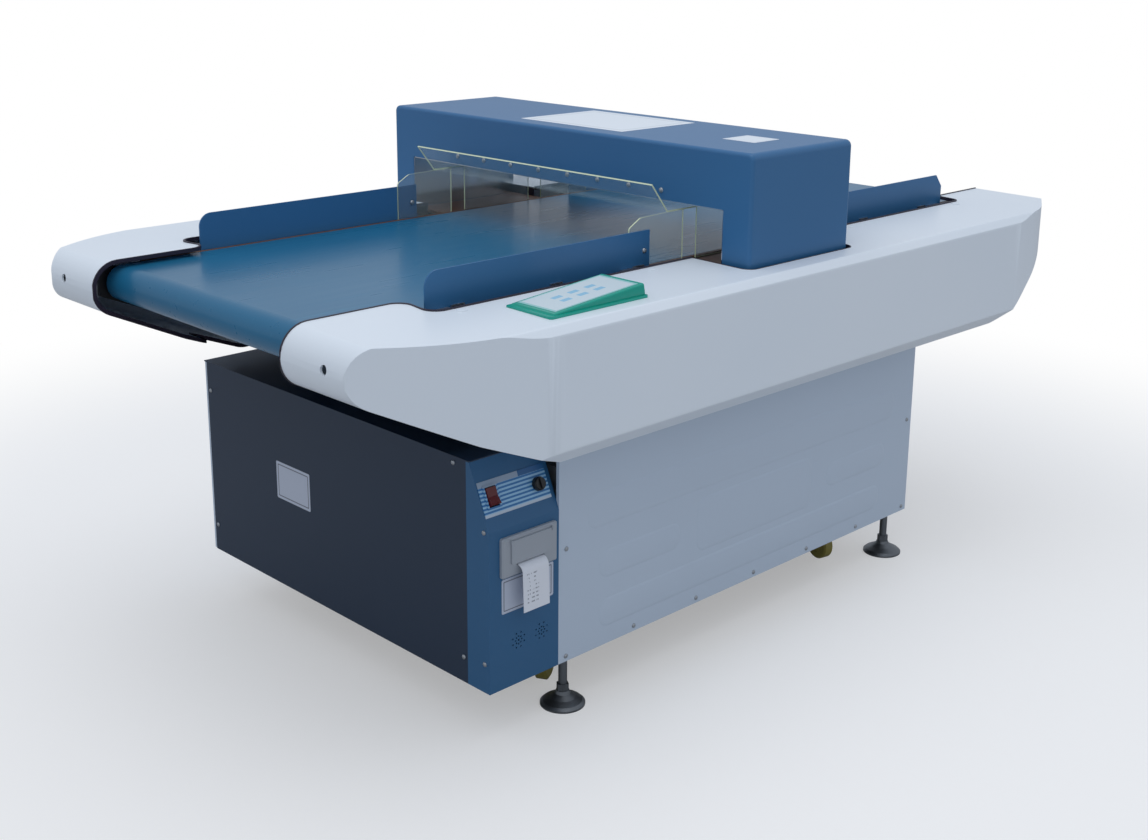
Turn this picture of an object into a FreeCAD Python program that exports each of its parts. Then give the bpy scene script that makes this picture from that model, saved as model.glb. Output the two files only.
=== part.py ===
"""Conveyor metal detector: a belt conveyor on a cabinet, with a search head bridging the belt.

Millimetres.  +X runs along the belt towards the outfeed, +Y to the far side, +Z up.
The origin is on the floor, under the middle of the machine.
"""

import FreeCAD, Part
import math
import os
import re

import Sketcher
from FreeCAD import Placement, Rotation, Vector

SIZES = {
    # whole machine
    "half_length": 962.0,
    "half_width": 572.5,
    "total_height": 969.0,
    # belt and its bed
    "belt_top": 753.0,
    "belt_gauge": 3.0,
    "belt_half": 322.0,
    "drum_radius": 30.0,
    "drum_centre": 876.0,
    "bed_gauge": 12.0,
    "bed_half": 332.0,
    "bed_end": 836.0,
    "side_frame_gauge": 6.0,
    "side_frame_inner": 333.0,
    "side_frame_low": 575.0,
    "shaft_radius": 10.0,
    "roller_radius": 20.0,
    "roller_place": 420.0,
    # side covers
    "cover_top": 764.0,
    "cover_crown": 4.0,
    "cover_bottom": 533.0,
    "cover_skin": 4.0,
    "top_bevel": 14.0,
    "bottom_bevel": 29.0,
    "nose_round": 48.0,
    "nose_inner": 296.0,
    "notch_inner": 384.0,
    "notch_start": 724.0,
    "notch_end": 791.0,
    "bow_width": 482.0,
    "adjuster_y": 405.5,
    "adjuster_z": 725.0,
    "trim_gauge": 3.0,
    # search head
    "head_left": -105.5,
    "head_right": 189.0,
    "head_half": 507.0,
    "opening_half": 443.5,
    "opening_top": 862.0,
    "head_low": 572.0,
    "head_skin": 3.0,
    # guides
    "rail_gauge": 3.0,
    "rail_low": 750.7,
    "rail_high": 822.0,
    "rail_far_end": 706.0,
    "rail_near_end": 185.0,
    "rail_out_end": 778.0,
    "guard_gauge": 3.0,
    "visor_low": 847.0,
    "visor_high": 901.0,
    # cabinet
    "cabinet_left": -657.4,
    "cabinet_right": 571.0,
    "cabinet_half": 430.0,
    "cabinet_top": 506.0,
    "cabinet_floor": 103.5,
    "sheet": 2.0,
    "tube": 50.0,
    "post_left": -455.0,
    "post_right": 542.5,
    "post_y": 398.0,
    "column_right": -499.0,
    "slope_low": 393.0,
    "slope_back": 46.0,
    # floor hardware
    "pad_radius": 41.0,
    "stem_radius": 8.0,
    "thread_gap": 0.3,
    "castor_radius": 32.0,
    "castor_trail": 30.0,
    "castor_clear": 10.0,
    "running_gap": 0.05,
    # drive
    "motor_x": 690.0,
    "motor_z": 660.0,
    "pulley_radius": 24.0,
    # console and printer
    "console_left": -614.0,
    "console_right": -393.0,
    "console_front": -532.0,
    "console_back": -425.0,
    "printer_left": -634.0,
    "printer_right": -509.0,
    "printer_low": 307.0,
    "printer_high": 378.0,
}

doc = FreeCAD.newDocument("metal_detector")
sheet = doc.addObject("Spreadsheet::Sheet", "dims")
for row, (alias, value) in enumerate(SIZES.items(), start=1):
    sheet.set(f"A{row}", alias)
    sheet.set(f"B{row}", str(value))
    sheet.setAlias(f"B{row}", alias)
doc.recompute()

parts = {}

FIXINGS = ("-680", "-242", "349", "746")  # where screws hold each cover
CORNERS = (("near_left", "post_left", "-post_y"), ("near_right", "post_right", "-post_y"),
           ("far_left", "post_left", "post_y"), ("far_right", "post_right", "post_y"))
CASTORS = (("near_left", "-400", "-305", 209), ("near_right", "400", "-305", 258),
           ("far_left", "-400", "305", 150), ("far_right", "400", "305", 20))  # swivel centres, headings
PULLEY_LINE = "-(side_frame_inner + 23)"
PULLEY = [("-7", "0"), ("-7", "pulley_radius + 4"), ("-5.5", "pulley_radius + 4"), ("-5.5", "pulley_radius"),
          ("5.5", "pulley_radius"), ("5.5", "pulley_radius + 4"), ("7", "pulley_radius + 4"), ("7", "0")]


# ---------------------------------------------------------------- helpers


def expression(text):
    """Give each alias in the text its sheet's name."""
    return re.sub(r"[a-z_]+", lambda m: "dims." + m[0] if m[0] in SIZES else m[0], str(text))


def number(text):
    """Value of an expression, for the first guess of a sketch's geometry."""
    return float(sheet.evalExpression(expression(text)))


def bind(thing, **properties):
    """Tie properties of an object to the sheet; a dot in a name is written as two underscores."""
    for name, text in properties.items():
        thing.setExpression(name.replace("__", "."), expression(text))
    return thing


def keep(label, thing):
    """Register a finished sub-part under its own label."""
    thing.Label = label
    parts[label] = thing
    return thing


def box(name, low, high):
    """Block between two corners."""
    block = doc.addObject("Part::Box", name)
    bind(block, Length=f"({high[0]}) - ({low[0]})", Width=f"({high[1]}) - ({low[1]})")
    bind(block, Height=f"({high[2]}) - ({low[2]})")
    bind(block, Placement__Base__x=low[0], Placement__Base__y=low[1], Placement__Base__z=low[2])
    return block


TURNS = {
    "x": Rotation(Vector(0, 1, 0), 90),
    "y": Rotation(Vector(1, 0, 0), -90),
    "z": Rotation(),
}


def rod(name, radius, start, length, axis="z"):
    """Round bar from a start point along +X, +Y or +Z."""
    bar = doc.addObject("Part::Cylinder", name)
    bar.Placement = Placement(Vector(), TURNS[axis])
    bind(bar, Radius=radius, Height=length)
    bind(bar, Placement__Base__x=start[0], Placement__Base__y=start[1], Placement__Base__z=start[2])
    return bar


def cut(name, base, tool):
    """First shape less the second."""
    result = doc.addObject("Part::Cut", name)
    result.Base = base
    result.Tool = tool
    return result


def fuse(name, shapes):
    """Shapes joined into one."""
    result = doc.addObject("Part::MultiFuse", name)
    result.Shapes = shapes
    return result


def common(name, shapes):
    """What all the shapes share."""
    result = doc.addObject("Part::MultiCommon", name)
    result.Shapes = shapes
    return result


def group(name, shapes):
    """Separate solids that share one node."""
    result = doc.addObject("Part::Compound", name)
    result.Links = shapes
    return result


def mirror(name, source, normal=(0, 1, 0), base=("0", "0", "0")):
    """Mirror image in a plane square to one axis."""
    result = doc.addObject("Part::Mirroring", name)
    result.Source = source
    result.Normal = Vector(*normal)
    bind(result, Base__x=base[0], Base__y=base[1], Base__z=base[2])
    return result


def origin_plane(body, role):
    """Base plane of a body, such as XY_Plane."""
    return next(f for f in body.Origin.OriginFeatures if f.Role == role)


def draw_loop(sketch, points):
    """Closed outline: each corner is (a, b) tied to the sheet, or (a, b, radius) where it is rounded."""
    corners = [Vector(number(p[0]), number(p[1]), 0) for p in points]
    first = sketch.GeometryCount
    for k, corner in enumerate(corners):
        sketch.addGeometry(Part.LineSegment(corner, corners[(k + 1) % len(corners)]), False)
    for k in range(len(corners)):
        after = first + (k + 1) % len(corners)
        sketch.addConstraint(Sketcher.Constraint("Coincident", first + k, 2, after, 1))
    for k, point in enumerate(points):
        ties = (("DistanceX", point[0], corners[k].x), ("DistanceY", point[1], corners[k].y))
        for kind, text, place in ties:
            index = sketch.addConstraint(Sketcher.Constraint(kind, -1, 1, first + k, 1, place))
            sketch.setExpression(f"Constraints[{index}]", expression(text))
    for k, point in enumerate(points):
        if len(point) == 3:
            sketch.fillet(first + k, 1, number(point[2]), True, True)
            arc = sketch.GeometryCount - 2
            index = sketch.addConstraint(Sketcher.Constraint("Radius", arc, number(point[2])))
            sketch.setExpression(f"Constraints[{index}]", expression(point[2]))


def draw_circle(sketch, centre, radius):
    """Circle tied to the sheet by its centre and radius."""
    a, b = (number(text) for text in centre)
    index = sketch.GeometryCount
    sketch.addGeometry(Part.Circle(Vector(a, b, 0), Vector(0, 0, 1), number(radius)), False)
    for kind, text, place in (("DistanceX", centre[0], a), ("DistanceY", centre[1], b)):
        tie = sketch.addConstraint(Sketcher.Constraint(kind, -1, 1, index, 3, place))
        sketch.setExpression(f"Constraints[{tie}]", expression(text))
    tie = sketch.addConstraint(Sketcher.Constraint("Radius", index, number(radius)))
    sketch.setExpression(f"Constraints[{tie}]", expression(radius))


def new_sketch(body, role, name, loops=(), circles=(), offset="0"):
    """Sketch on one of the body's own origin planes, moved along the plane's normal."""
    sketch = body.newObject("Sketcher::SketchObject", name)
    sketch.AttachmentSupport = [(origin_plane(body, role), "")]
    sketch.MapMode = "FlatFace"
    bind(sketch, AttachmentOffset__Base__z=offset)
    for points in loops:
        draw_loop(sketch, points)
    for centre, radius in circles:
        draw_circle(sketch, centre, radius)
    return sketch


ROLES = {"x": "YZ_Plane", "y": "XZ_Plane", "z": "XY_Plane"}


def span(axis, start, end):
    """Offset and length of an extrusion that runs from start to end; the XZ plane looks along -Y."""
    offset = f"-({end})" if axis == "y" else start
    return offset, f"({end}) - ({start})"


def pad(body, axis, name, start, end, loops=(), circles=()):
    """Material between two stations along an axis."""
    offset, length = span(axis, start, end)
    sketch = new_sketch(body, ROLES[axis], name + "_sketch", loops, circles, offset)
    feature = body.newObject("PartDesign::Pad", name)
    feature.Profile = sketch
    bind(feature, Length=length)
    doc.recompute()
    return feature


def pocket(body, axis, name, start, end, loops=(), circles=()):
    """Hollow between two stations along an axis, checked to take something away."""
    offset, length = span(axis, start, end)
    before = body.Shape.Volume
    sketch = new_sketch(body, ROLES[axis], name + "_sketch", loops, circles, offset)
    feature = body.newObject("PartDesign::Pocket", name)
    feature.Profile = sketch
    feature.Reversed = True
    bind(feature, Length=length)
    doc.recompute()
    if body.Shape.Volume > before - 1e-6:
        raise RuntimeError(name + " cuts nothing")
    return feature


def new_body(name):
    return doc.addObject("PartDesign::Body", name)


def prism(name, axis, start, end, points):
    """Body made of one padded outline."""
    body = new_body(name)
    pad(body, axis, name + "_pad", start, end, [points])
    return body


def rectangle(low, high):
    return [(low[0], low[1]), (high[0], low[1]), (high[0], high[1]), (low[0], high[1])]


def edge_names(shape, wanted):
    """Names of the edges whose middle point and direction satisfy a test."""
    names = []
    for index, edge in enumerate(shape.Edges, start=1):
        middle = edge.valueAt((edge.FirstParameter + edge.LastParameter) / 2)
        along = edge.tangentAt((edge.FirstParameter + edge.LastParameter) / 2)
        if wanted(middle, along):
            names.append(f"Edge{index}")
    return names


def near(value, text, slack=0.6):
    return abs(value - number(text)) < slack


def round_edges(body, name, radius, wanted, kind="PartDesign::Fillet"):
    """Fillet or chamfer the chosen edges of a body's last feature."""
    base = body.Tip
    names = edge_names(base.Shape, wanted)
    if not names:
        raise RuntimeError(name + " finds no edge")
    feature = body.newObject(kind, name)
    feature.Base = (base, names)
    bind(feature, **{"Size" if kind.endswith("Chamfer") else "Radius": radius})
    doc.recompute()
    return feature


def turned(name, axis, centre, loop):
    """Body turned about an axis; the loop holds (distance along the axis, radius) pairs."""
    body = new_body(name)
    x, y, z = centre
    plane, offset = ("y", f"-({y})") if axis == "x" else ("x", x)
    along, across = {"x": (x, z), "y": (y, z), "z": (z, y)}[axis]
    points = [(f"({along}) + ({d})", f"({across}) + ({r})") for d, r in loop]
    start = (along, across)
    if axis == "z":
        points = [(b, a) for a, b in points]
        start = (across, along)
    sketch = new_sketch(body, ROLES[plane], name + "_sketch", [points], (), offset)
    a, b = (number(text) for text in start)
    step = Vector(0, 10, 0) if axis == "z" else Vector(10, 0, 0)
    centre_line = sketch.addGeometry(Part.LineSegment(Vector(a, b, 0), Vector(a, b, 0) + step), True)
    for kind, text, place in (("DistanceX", start[0], a), ("DistanceY", start[1], b)):
        tie = sketch.addConstraint(Sketcher.Constraint(kind, -1, 1, centre_line, 1, place))
        sketch.setExpression(f"Constraints[{tie}]", expression(text))
    direction = "Vertical" if axis == "z" else "Horizontal"
    sketch.addConstraint(Sketcher.Constraint(direction, centre_line))
    sketch.addConstraint(Sketcher.Constraint("Distance", centre_line, 10.0))
    feature = body.newObject("PartDesign::Revolution", name + "_turn")
    feature.Profile = sketch
    feature.ReferenceAxis = (sketch, ["Axis0"])
    feature.Angle = 360.0
    doc.recompute()
    return body


# ---------------------------------------------------------------- cabinet


def square_tube(name, low, high, axis):
    """Welded-frame tube with 3 mm walls, open along one axis."""
    inner_low = [a if k == axis else f"({a}) + 3" for k, a in enumerate(low)]
    inner_high = [a if k == axis else f"({a}) - 3" for k, a in enumerate(high)]
    return cut(name, box(name + "_outside", low, high), box(name + "_inside", inner_low, inner_high))


def cabinet_frame():
    """Posts, side rails and cross rails of the welded base."""
    low, high = "cabinet_floor + 0.5", "cabinet_top - sheet"
    posts, sides, crosses = [], [], []
    for k, x in enumerate(("post_left", "post_right")):
        for m, y in enumerate(("-post_y", "post_y")):
            corner = (f"{x} - tube / 2", f"{y} - tube / 2", f"{low} + tube")
            opposite = (f"{x} + tube / 2", f"{y} + tube / 2", f"{high} - tube")
            posts.append(square_tube(f"post_{k}{m}", corner, opposite, 2))
        for m, z in enumerate((low, f"{high} - tube")):
            corner = (f"{x} - tube / 2", "-post_y + tube / 2", z)
            opposite = (f"{x} + tube / 2", "post_y - tube / 2", f"{z} + tube")
            crosses.append(square_tube(f"cross_{k}{m}", corner, opposite, 1))
    for m, y in enumerate(("-post_y", "post_y")):
        for n, z in enumerate((low, f"{high} - tube")):
            corner = ("post_left - tube / 2", f"{y} - tube / 2", z)
            opposite = ("post_right + tube / 2", f"{y} + tube / 2", f"{z} + tube")
            sides.append(square_tube(f"side_{m}{n}", corner, opposite, 0))
    castor_cross = ("375", "-post_y + tube / 2", low), ("425", "post_y - tube / 2", f"{low} + tube")
    crosses.append(square_tube("cross_castor", *castor_cross, 1))
    overhang, back = "cabinet_left + 9.4", "-cabinet_half + 54"
    for k, y in enumerate((back, "post_y - tube / 2")):
        corner = (overhang, y, low)
        opposite = ("post_left - tube / 2", f"{y} + tube", f"{low} + tube")
        crosses.append(square_tube(f"overhang_rail_{k}", corner, opposite, 0))
    corner = (overhang, f"{back} + tube", low)
    opposite = (f"{overhang} + tube", "post_y - tube / 2", f"{low} + tube")
    crosses.append(square_tube("overhang_cross", corner, opposite, 1))
    holes = [rod(f"stem_hole_{side}", "stem_radius + thread_gap", (x, y, "cabinet_floor - 5"), "20")
             for side, x, y in CORNERS]
    pierced = cut("side_rails_pierced", group("side_rails", sides), fuse("stem_holes", holes))
    keep("welded_frame", group("welded_frame_group", posts + crosses + castor_plates() + [pierced]))


def castor_plates():
    """Plates under the frame that carry the castors' kingpins."""
    top = "cabinet_floor"
    plates = []
    for side, x, y, heading in CASTORS:
        left = f"{x} - 80" if x.startswith("-") else f"{x} - 40"
        corner, opposite = (left, f"{y} - 40", f"{top} - 4"), (f"{x} + 40", f"{y} + 40", f"{top} + 0.5")
        blank = box(f"castor_plate_{side}", corner, opposite)
        bore = rod(f"castor_bore_{side}", "6 + running_gap", (x, y, f"{top} - 10"), "20")
        plates.append(cut(f"castor_plate_body_{side}", blank, bore))
    return plates


def tray(name, axis, face, back, low, high):
    """Sheet panel with a folded rim: face and back are its stations, low and high its outline."""
    body = new_body(name)
    start, end = (face, back) if number(face) < number(back) else (back, face)
    pad(body, axis, name + "_blank", start, end, [rectangle(low, high)])
    inner_low = [f"({a}) + sheet" for a in low]
    inner_high = [f"({a}) - sheet" for a in high]
    if number(face) < number(back):
        start = f"({face}) + sheet"
    else:
        end = f"({face}) - sheet"
    pocket(body, axis, name + "_hollow", start, end, [rectangle(inner_low, inner_high)])
    return body


def cabinet_skin():
    """End panels, white side panels and top sheet."""
    low, high = "cabinet_floor", "cabinet_top - sheet"
    left_panel = tray("end_left", "x", "cabinet_left", "cabinet_left + 9.4",
                      ("-cabinet_half + 54", low), ("cabinet_half - 7", high))
    right_panel = tray("end_right", "x", "cabinet_right + 0.4", "cabinet_right - 3",
                       ("-cabinet_half + 5", low), ("cabinet_half - 5", high))
    keep("end_panels", group("end_panels_group", [left_panel, right_panel]))
    keep("side_panel_near", tray("side_near", "y", "-cabinet_half - 2", "-cabinet_half + 5",
         ("column_right", low), ("cabinet_right", high)))
    keep("side_panel_far", tray("side_far", "y", "cabinet_half + 2", "cabinet_half - 5",
         ("cabinet_left + 2", low), ("cabinet_right", high)))
    front = "-cabinet_half + slope_back"
    outline = [("cabinet_left", front), ("column_right", front), ("column_right", "-cabinet_half - 2"),
               ("cabinet_right", "-cabinet_half - 2"), ("cabinet_right", "cabinet_half + 2"),
               ("cabinet_left", "cabinet_half + 2")]
    top = prism("cabinet_top_body", "z", "cabinet_top - sheet", "cabinet_top", outline)
    floor = "cabinet_floor + 0.5 + tube"
    deck = box("equipment_floor", ("post_left + tube / 2", "-post_y + tube / 2", floor),
               ("post_right - tube / 2", "post_y - tube / 2", f"{floor} + 3"))
    keep("cabinet_sheets", group("cabinet_sheets_group", [top, deck]))


def control_column():
    """Folded sheet housing with a sloped control face."""
    front, back = "-cabinet_half - 2", "-cabinet_half + 54"
    top = "cabinet_top - sheet"
    body = new_body("column")
    slope_top = "-cabinet_half + slope_back"
    outline = [(front, "cabinet_floor"), (front, "slope_low"), (slope_top, top), (back, top),
               (back, "cabinet_floor")]
    pad(body, "x", "column_blank", "cabinet_left", "column_right", [outline])
    inner = [(f"{front} + sheet", "cabinet_floor + sheet"), (f"{front} + sheet", "slope_low - 0.4"),
             (f"{slope_top} + 1.6", f"{top} - sheet"), (f"{back} + 1", f"{top} - sheet"),
             (f"{back} + 1", "cabinet_floor + sheet")]
    pocket(body, "x", "column_hollow", "cabinet_left + sheet", "column_right - sheet", [inner])
    opening = rectangle(("-626", "314"), ("-517", "371"))
    pocket(body, "y", "printer_window", f"{front} - 1", f"{front} + 4", [opening])
    holes = []
    for x in (-592, -539):
        holes.append(((str(x), "183"), "1.8"))
        for ring, radius in enumerate((7, 14)):
            for step in range(8):
                angle = math.radians(45 * step + 22.5 * ring)
                place = (f"{x} + {radius * math.cos(angle):.3f}", f"183 + {radius * math.sin(angle):.3f}")
                holes.append((place, "1.6"))
    pocket(body, "y", "speaker_holes", f"{front} - 1", f"{front} + 4", (), holes)
    keep("control_column", body)


# ---------------------------------------------------------------- conveyor


def stadium(name, radius, half):
    """Solid of revolution ends joined by a block, spanning both drums."""
    centre = "belt_top - belt_gauge - drum_radius"
    ends = []
    for k, x in enumerate(("-drum_centre", "drum_centre")):
        ends.append(rod(f"{name}_end{k}", radius, (x, f"-({half})", centre), f"2 * ({half})", "y"))
    middle = box(f"{name}_middle", ("-drum_centre", f"-({half})", f"{centre} - ({radius})"),
                 ("drum_centre", half, f"{centre} + ({radius})"))
    return fuse(name, ends + [middle])


def conveyor():
    """Belt, bed, side frames and everything that turns with the belt."""
    centre = "belt_top - belt_gauge - drum_radius"
    keep_belt_and_drums(centre)
    return centre, return_rollers(centre)


def keep_belt_and_drums(centre):
    """Endless belt on a tail drum and a drive drum, each on its own shaft."""
    outside = stadium("belt_outside", "drum_radius + belt_gauge", "belt_half")
    inside = stadium("belt_inside", "drum_radius + 0.3", "belt_half + 5")
    keep("belt", cut("belt_loop", outside, inside))
    drum_ends = "side_frame_inner - 2"
    for side, x in (("tail", "-drum_centre"), ("drive", "drum_centre")):
        near_end = "34" if side == "drive" else "92"
        far_end = "16" if side == "drive" else "92"
        loop = [(f"-({drum_ends}) - {near_end}", "0"), (f"-({drum_ends}) - {near_end}", "shaft_radius"),
                (f"-({drum_ends}) + 4", "shaft_radius"), (f"-({drum_ends}) + 4", "drum_radius - 4"),
                (f"-({drum_ends}) + 6", "drum_radius"), (f"({drum_ends}) - 6", "drum_radius"),
                (f"({drum_ends}) - 4", "drum_radius - 4"), (f"({drum_ends}) - 4", "shaft_radius"),
                (f"({drum_ends}) + {far_end}", "shaft_radius"), (f"({drum_ends}) + {far_end}", "0")]
        drum = turned(f"{side}_drum_body", "y", (x, "0", centre), loop)
        if side == "drive":
            drum = group("drive_drum_group", [drum, drum_pulley(centre)])
        keep(f"{side}_drum", drum)


def return_rollers(centre):
    """Idlers that carry the belt's lower run."""
    roller_z = f"{centre} - drum_radius - belt_gauge - roller_radius - 0.4"
    for k, (side, x) in enumerate((("left", "-roller_place"), ("right", "roller_place"))):
        end = "side_frame_inner - 6"
        loop = [(f"-({end}) - 14", "0"), (f"-({end}) - 14", "6"), (f"-({end})", "6"),
                (f"-({end})", "roller_radius"), (f"{end}", "roller_radius"), (f"{end}", "6"),
                (f"({end}) + 14", "6"), (f"({end}) + 14", "0")]
        keep(f"return_roller_{side}", turned(f"return_roller_{side}_body", "y", (x, "0", roller_z), loop))
    return roller_z


def slider_bed():
    """Phenolic board under the belt, with side wings inside the search head."""
    top = "belt_top - belt_gauge - 0.2"
    board = box("bed_board", ("-bed_end", "-bed_half", f"{top} - bed_gauge"), ("bed_end", "bed_half", top))
    wings = []
    for sign in (-1, 1):
        low_y = "side_frame_inner + side_frame_gauge + 1" if sign > 0 else "-(opening_half - 3)"
        high_y = "opening_half - 3" if sign > 0 else "-(side_frame_inner + side_frame_gauge + 1)"
        wings.append(box(f"wing_{sign + 1}", ("head_left + 2", low_y, f"{top} - 6"),
                         ("head_right - 2", high_y, top)))
    keep("slider_bed", group("slider_bed_group", [board] + wings))


def side_frames(centre, roller_z):
    """Black side plates with shaft holes, and the cross bars between them."""
    low, high = "side_frame_low", "belt_top - 4"
    end = "drum_centre + drum_radius + 12"
    outline = [(f"-({end})", f"{centre} - 22"), ("-drum_centre + 240", low), ("drum_centre - 240", low),
               (end, f"{centre} - 22"), (end, high), (f"-({end})", high)]
    inner, outer = "side_frame_inner", "side_frame_inner + side_frame_gauge"
    body = new_body("side_frame_body")
    pad(body, "y", "side_frame_plate", f"-({outer})", f"-({inner})", [outline])
    holes = []
    for x, z, radius in (("-drum_centre", centre, "shaft_radius"), ("drum_centre", centre, "shaft_radius"),
                         ("-roller_place", roller_z, "6"), ("roller_place", roller_z, "6")):
        holes.append(((x, z), f"{radius} + running_gap"))
    pocket(body, "y", "shaft_holes", f"-({outer}) - 1", f"-({inner}) + 1", (), holes)
    keep("side_frames", group("side_frames_group", [body, mirror("side_frame_mirror", body)]))
    bars = []
    for k, x in enumerate(("-640", "-250", "330", "640")):
        bars.append(box(f"bar_{k}", (f"{x} - 20", f"-({inner})", "side_frame_low + 8"),
                        (f"{x} + 20", inner, "side_frame_low + 48")))
    legs = []
    for k, x in enumerate(("-440", "-300", "380", "520")):
        for m, y in enumerate((f"-({outer})", inner)):
            legs.append(box(f"leg_{k}{m}", (f"{x} - 30", y, "cabinet_top"),
                            (f"{x} + 30", f"{y} + side_frame_gauge", "side_frame_low")))
    beam = square_tube("head_beam", ("head_left + 20", "-head_half + 4", "head_low - 32"),
                       ("head_right - 20", "head_half - 4", "head_low"), 1)
    pedestals = []
    for k, (a, b) in enumerate((("-375", "-290"), ("290", "375"))):
        pedestals.append(box(f"head_foot_{k}", ("head_left + 50", a, "cabinet_top"),
                             ("head_right - 50", b, "head_low - 32")))
    keep("conveyor_stand", group("conveyor_stand_group", bars + legs + [beam] + pedestals))


# ---------------------------------------------------------------- side covers


def cover_profile(inset):
    """Side view of a cover: slim nose at the infeed, blunt bow at the outfeed, trimmed by the plan."""
    t = f"({inset})"
    low = f"cover_bottom + {t}"
    high = f"cover_top + cover_crown - {t}"
    nose = f"nose_round - {t}"
    return [(f"-half_length + {t}", high, nose), (f"-half_length + {t}", f"690 + 0.6 * {t}", nose),
            (f"-774 + 0.2 * {t}", f"601 + {t}", "150"), (f"-602 + 0.2 * {t}", low, "60"),
            (f"706 - 0.2 * {t}", low, "150"), (f"915 - 0.8 * {t}", f"631 + 0.6 * {t}", "90"),
            (f"half_length + 1 - {t}", high, "6")]


def cover_plan(inset, inner_shift):
    """Plan of the near cover: bowed outer side, stepped inner side round the guide rails."""
    t = f"({inset})"
    s = f"({inner_shift})"
    outer = f"-half_width + {t}"
    edge = f"half_length - {t}"
    inner = f"-nose_inner + {s}"
    notch = f"-notch_inner + {s}"
    return [(f"-({edge})", f"-bow_width + {t}"), ("-820", f"-half_width + 31 + {t}", "500"),
            ("-660", outer, "500"), ("730", outer, "300"), ("850", f"-half_width + 22 + {t}", "300"),
            (edge, f"-bow_width - 6 + {t}"), (edge, f"{inner} - 24"),
            (f"notch_end + 6 - {s}", f"{inner} - 24", "20"), (f"notch_end - 6 - {s}", notch, "20"),
            (f"-notch_start - 6 + {s}", notch, "26"), (f"-notch_start + 6 + {s}", inner, "26"),
            (f"-({edge})", inner)]


def cover_section(inset):
    """End view of the near cover: crowned top, bevelled edges."""
    t = f"({inset})"
    outer = f"-half_width + {t}"
    low = f"cover_bottom + {t}"
    return [("-200", low), (f"{outer} + bottom_bevel", low, "8"), (outer, f"{low} + bottom_bevel", "8"),
            (outer, f"cover_top - top_bevel - {t}", "6"), (f"{outer} + top_bevel", f"cover_top - {t}", "6"),
            ("-nose_inner", f"cover_top + cover_crown - {t}"), ("-200", f"cover_top + cover_crown - {t}")]


def cover_block(name, inset, inner_shift):
    """Common of the three views of a cover."""
    profile = prism(f"{name}_profile", "y", "-half_width - 5", "-200", cover_profile(inset))
    plan = prism(f"{name}_plan", "z", "500", "800", cover_plan(inset, inner_shift))
    section = prism(f"{name}_section", "x", "-1000", "1000", cover_section(inset))
    return common(name, [profile, plan, section])


def side_covers():
    """Moulded near cover as an open-sided shell, its mirror image, and the rubber edge trims."""
    outside = cover_block("cover_outside", "0", "0")
    inside = cover_block("cover_inside", "cover_skin", "40")
    shell = cut("cover_shell", outside, inside)
    gap = "6"
    foot = box("head_slot", (f"head_left - {gap}", "-head_half - 6", "700"),
               (f"head_right + {gap}", "-300", "800"))
    hole = rod("adjuster_hole", "8", ("-half_length - 5", "-adjuster_y", "adjuster_z"), "40", "x")
    fixings = [rod(f"fixing_hole_{k}", "4.3", (x, "-398", "750"), "30") for k, x in enumerate(FIXINGS)]
    cover = cut("cover_near", shell, fuse("cover_openings", [foot, hole] + fixings))
    keep("side_cover_near", cover)
    keep("side_cover_far", mirror("cover_far", cover))
    wide = prism("trim_plan", "z", "500", "800", cover_plan("0", "trim_gauge"))
    base = prism("trim_plan_base", "z", "490", "810", cover_plan("0", "0"))
    lip = prism("trim_lip", "y", "-half_width", "-200", cover_profile("-1.5"))
    core = prism("trim_core", "y", "-half_width - 5", "-190", cover_profile("6"))
    strip = cut("trim_strip", common("trim_band", [cut("trim_ring", wide, base), lip]), core)
    trim = cut("trim_near", strip, foot)
    keep("edge_trims", group("edge_trims_group", [trim, mirror("trim_far", trim)]))
    plugs = []
    flank = "half_width - top_bevel"
    surface = f"cover_top + cover_crown * ({flank} - 398) / ({flank} - nose_inner)"
    for k, x in enumerate(FIXINGS):
        loop = [("-8.5", "0"), ("-8.5", "4"), ("0.2", "4"), ("0.2", "9"), ("1.4", "8"), ("1.4", "0")]
        plugs.append(turned(f"plug_{k}", "z", (x, "-398", surface), loop))
    near_plugs = group("plugs_near", plugs)
    keep("cover_fixings", group("cover_fixings_group", [near_plugs, mirror("plugs_far", near_plugs)]))
    brackets = []
    outer = "side_frame_inner + side_frame_gauge"
    for k, x in enumerate(FIXINGS):
        shelf = box(f"shelf_{k}", (f"{x} - 20", "-418", f"{surface} - 11.5"),
                    (f"{x} + 20", f"-({outer})", f"{surface} - 8.5"))
        leg = box(f"shelf_leg_{k}", (f"{x} - 20", f"-({outer}) - 3", "680"),
                  (f"{x} + 20", f"-({outer})", f"{surface} - 11.5"))
        brackets.append(fuse(f"bracket_{k}", [shelf, leg]))
    return brackets


# ---------------------------------------------------------------- search head


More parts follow.
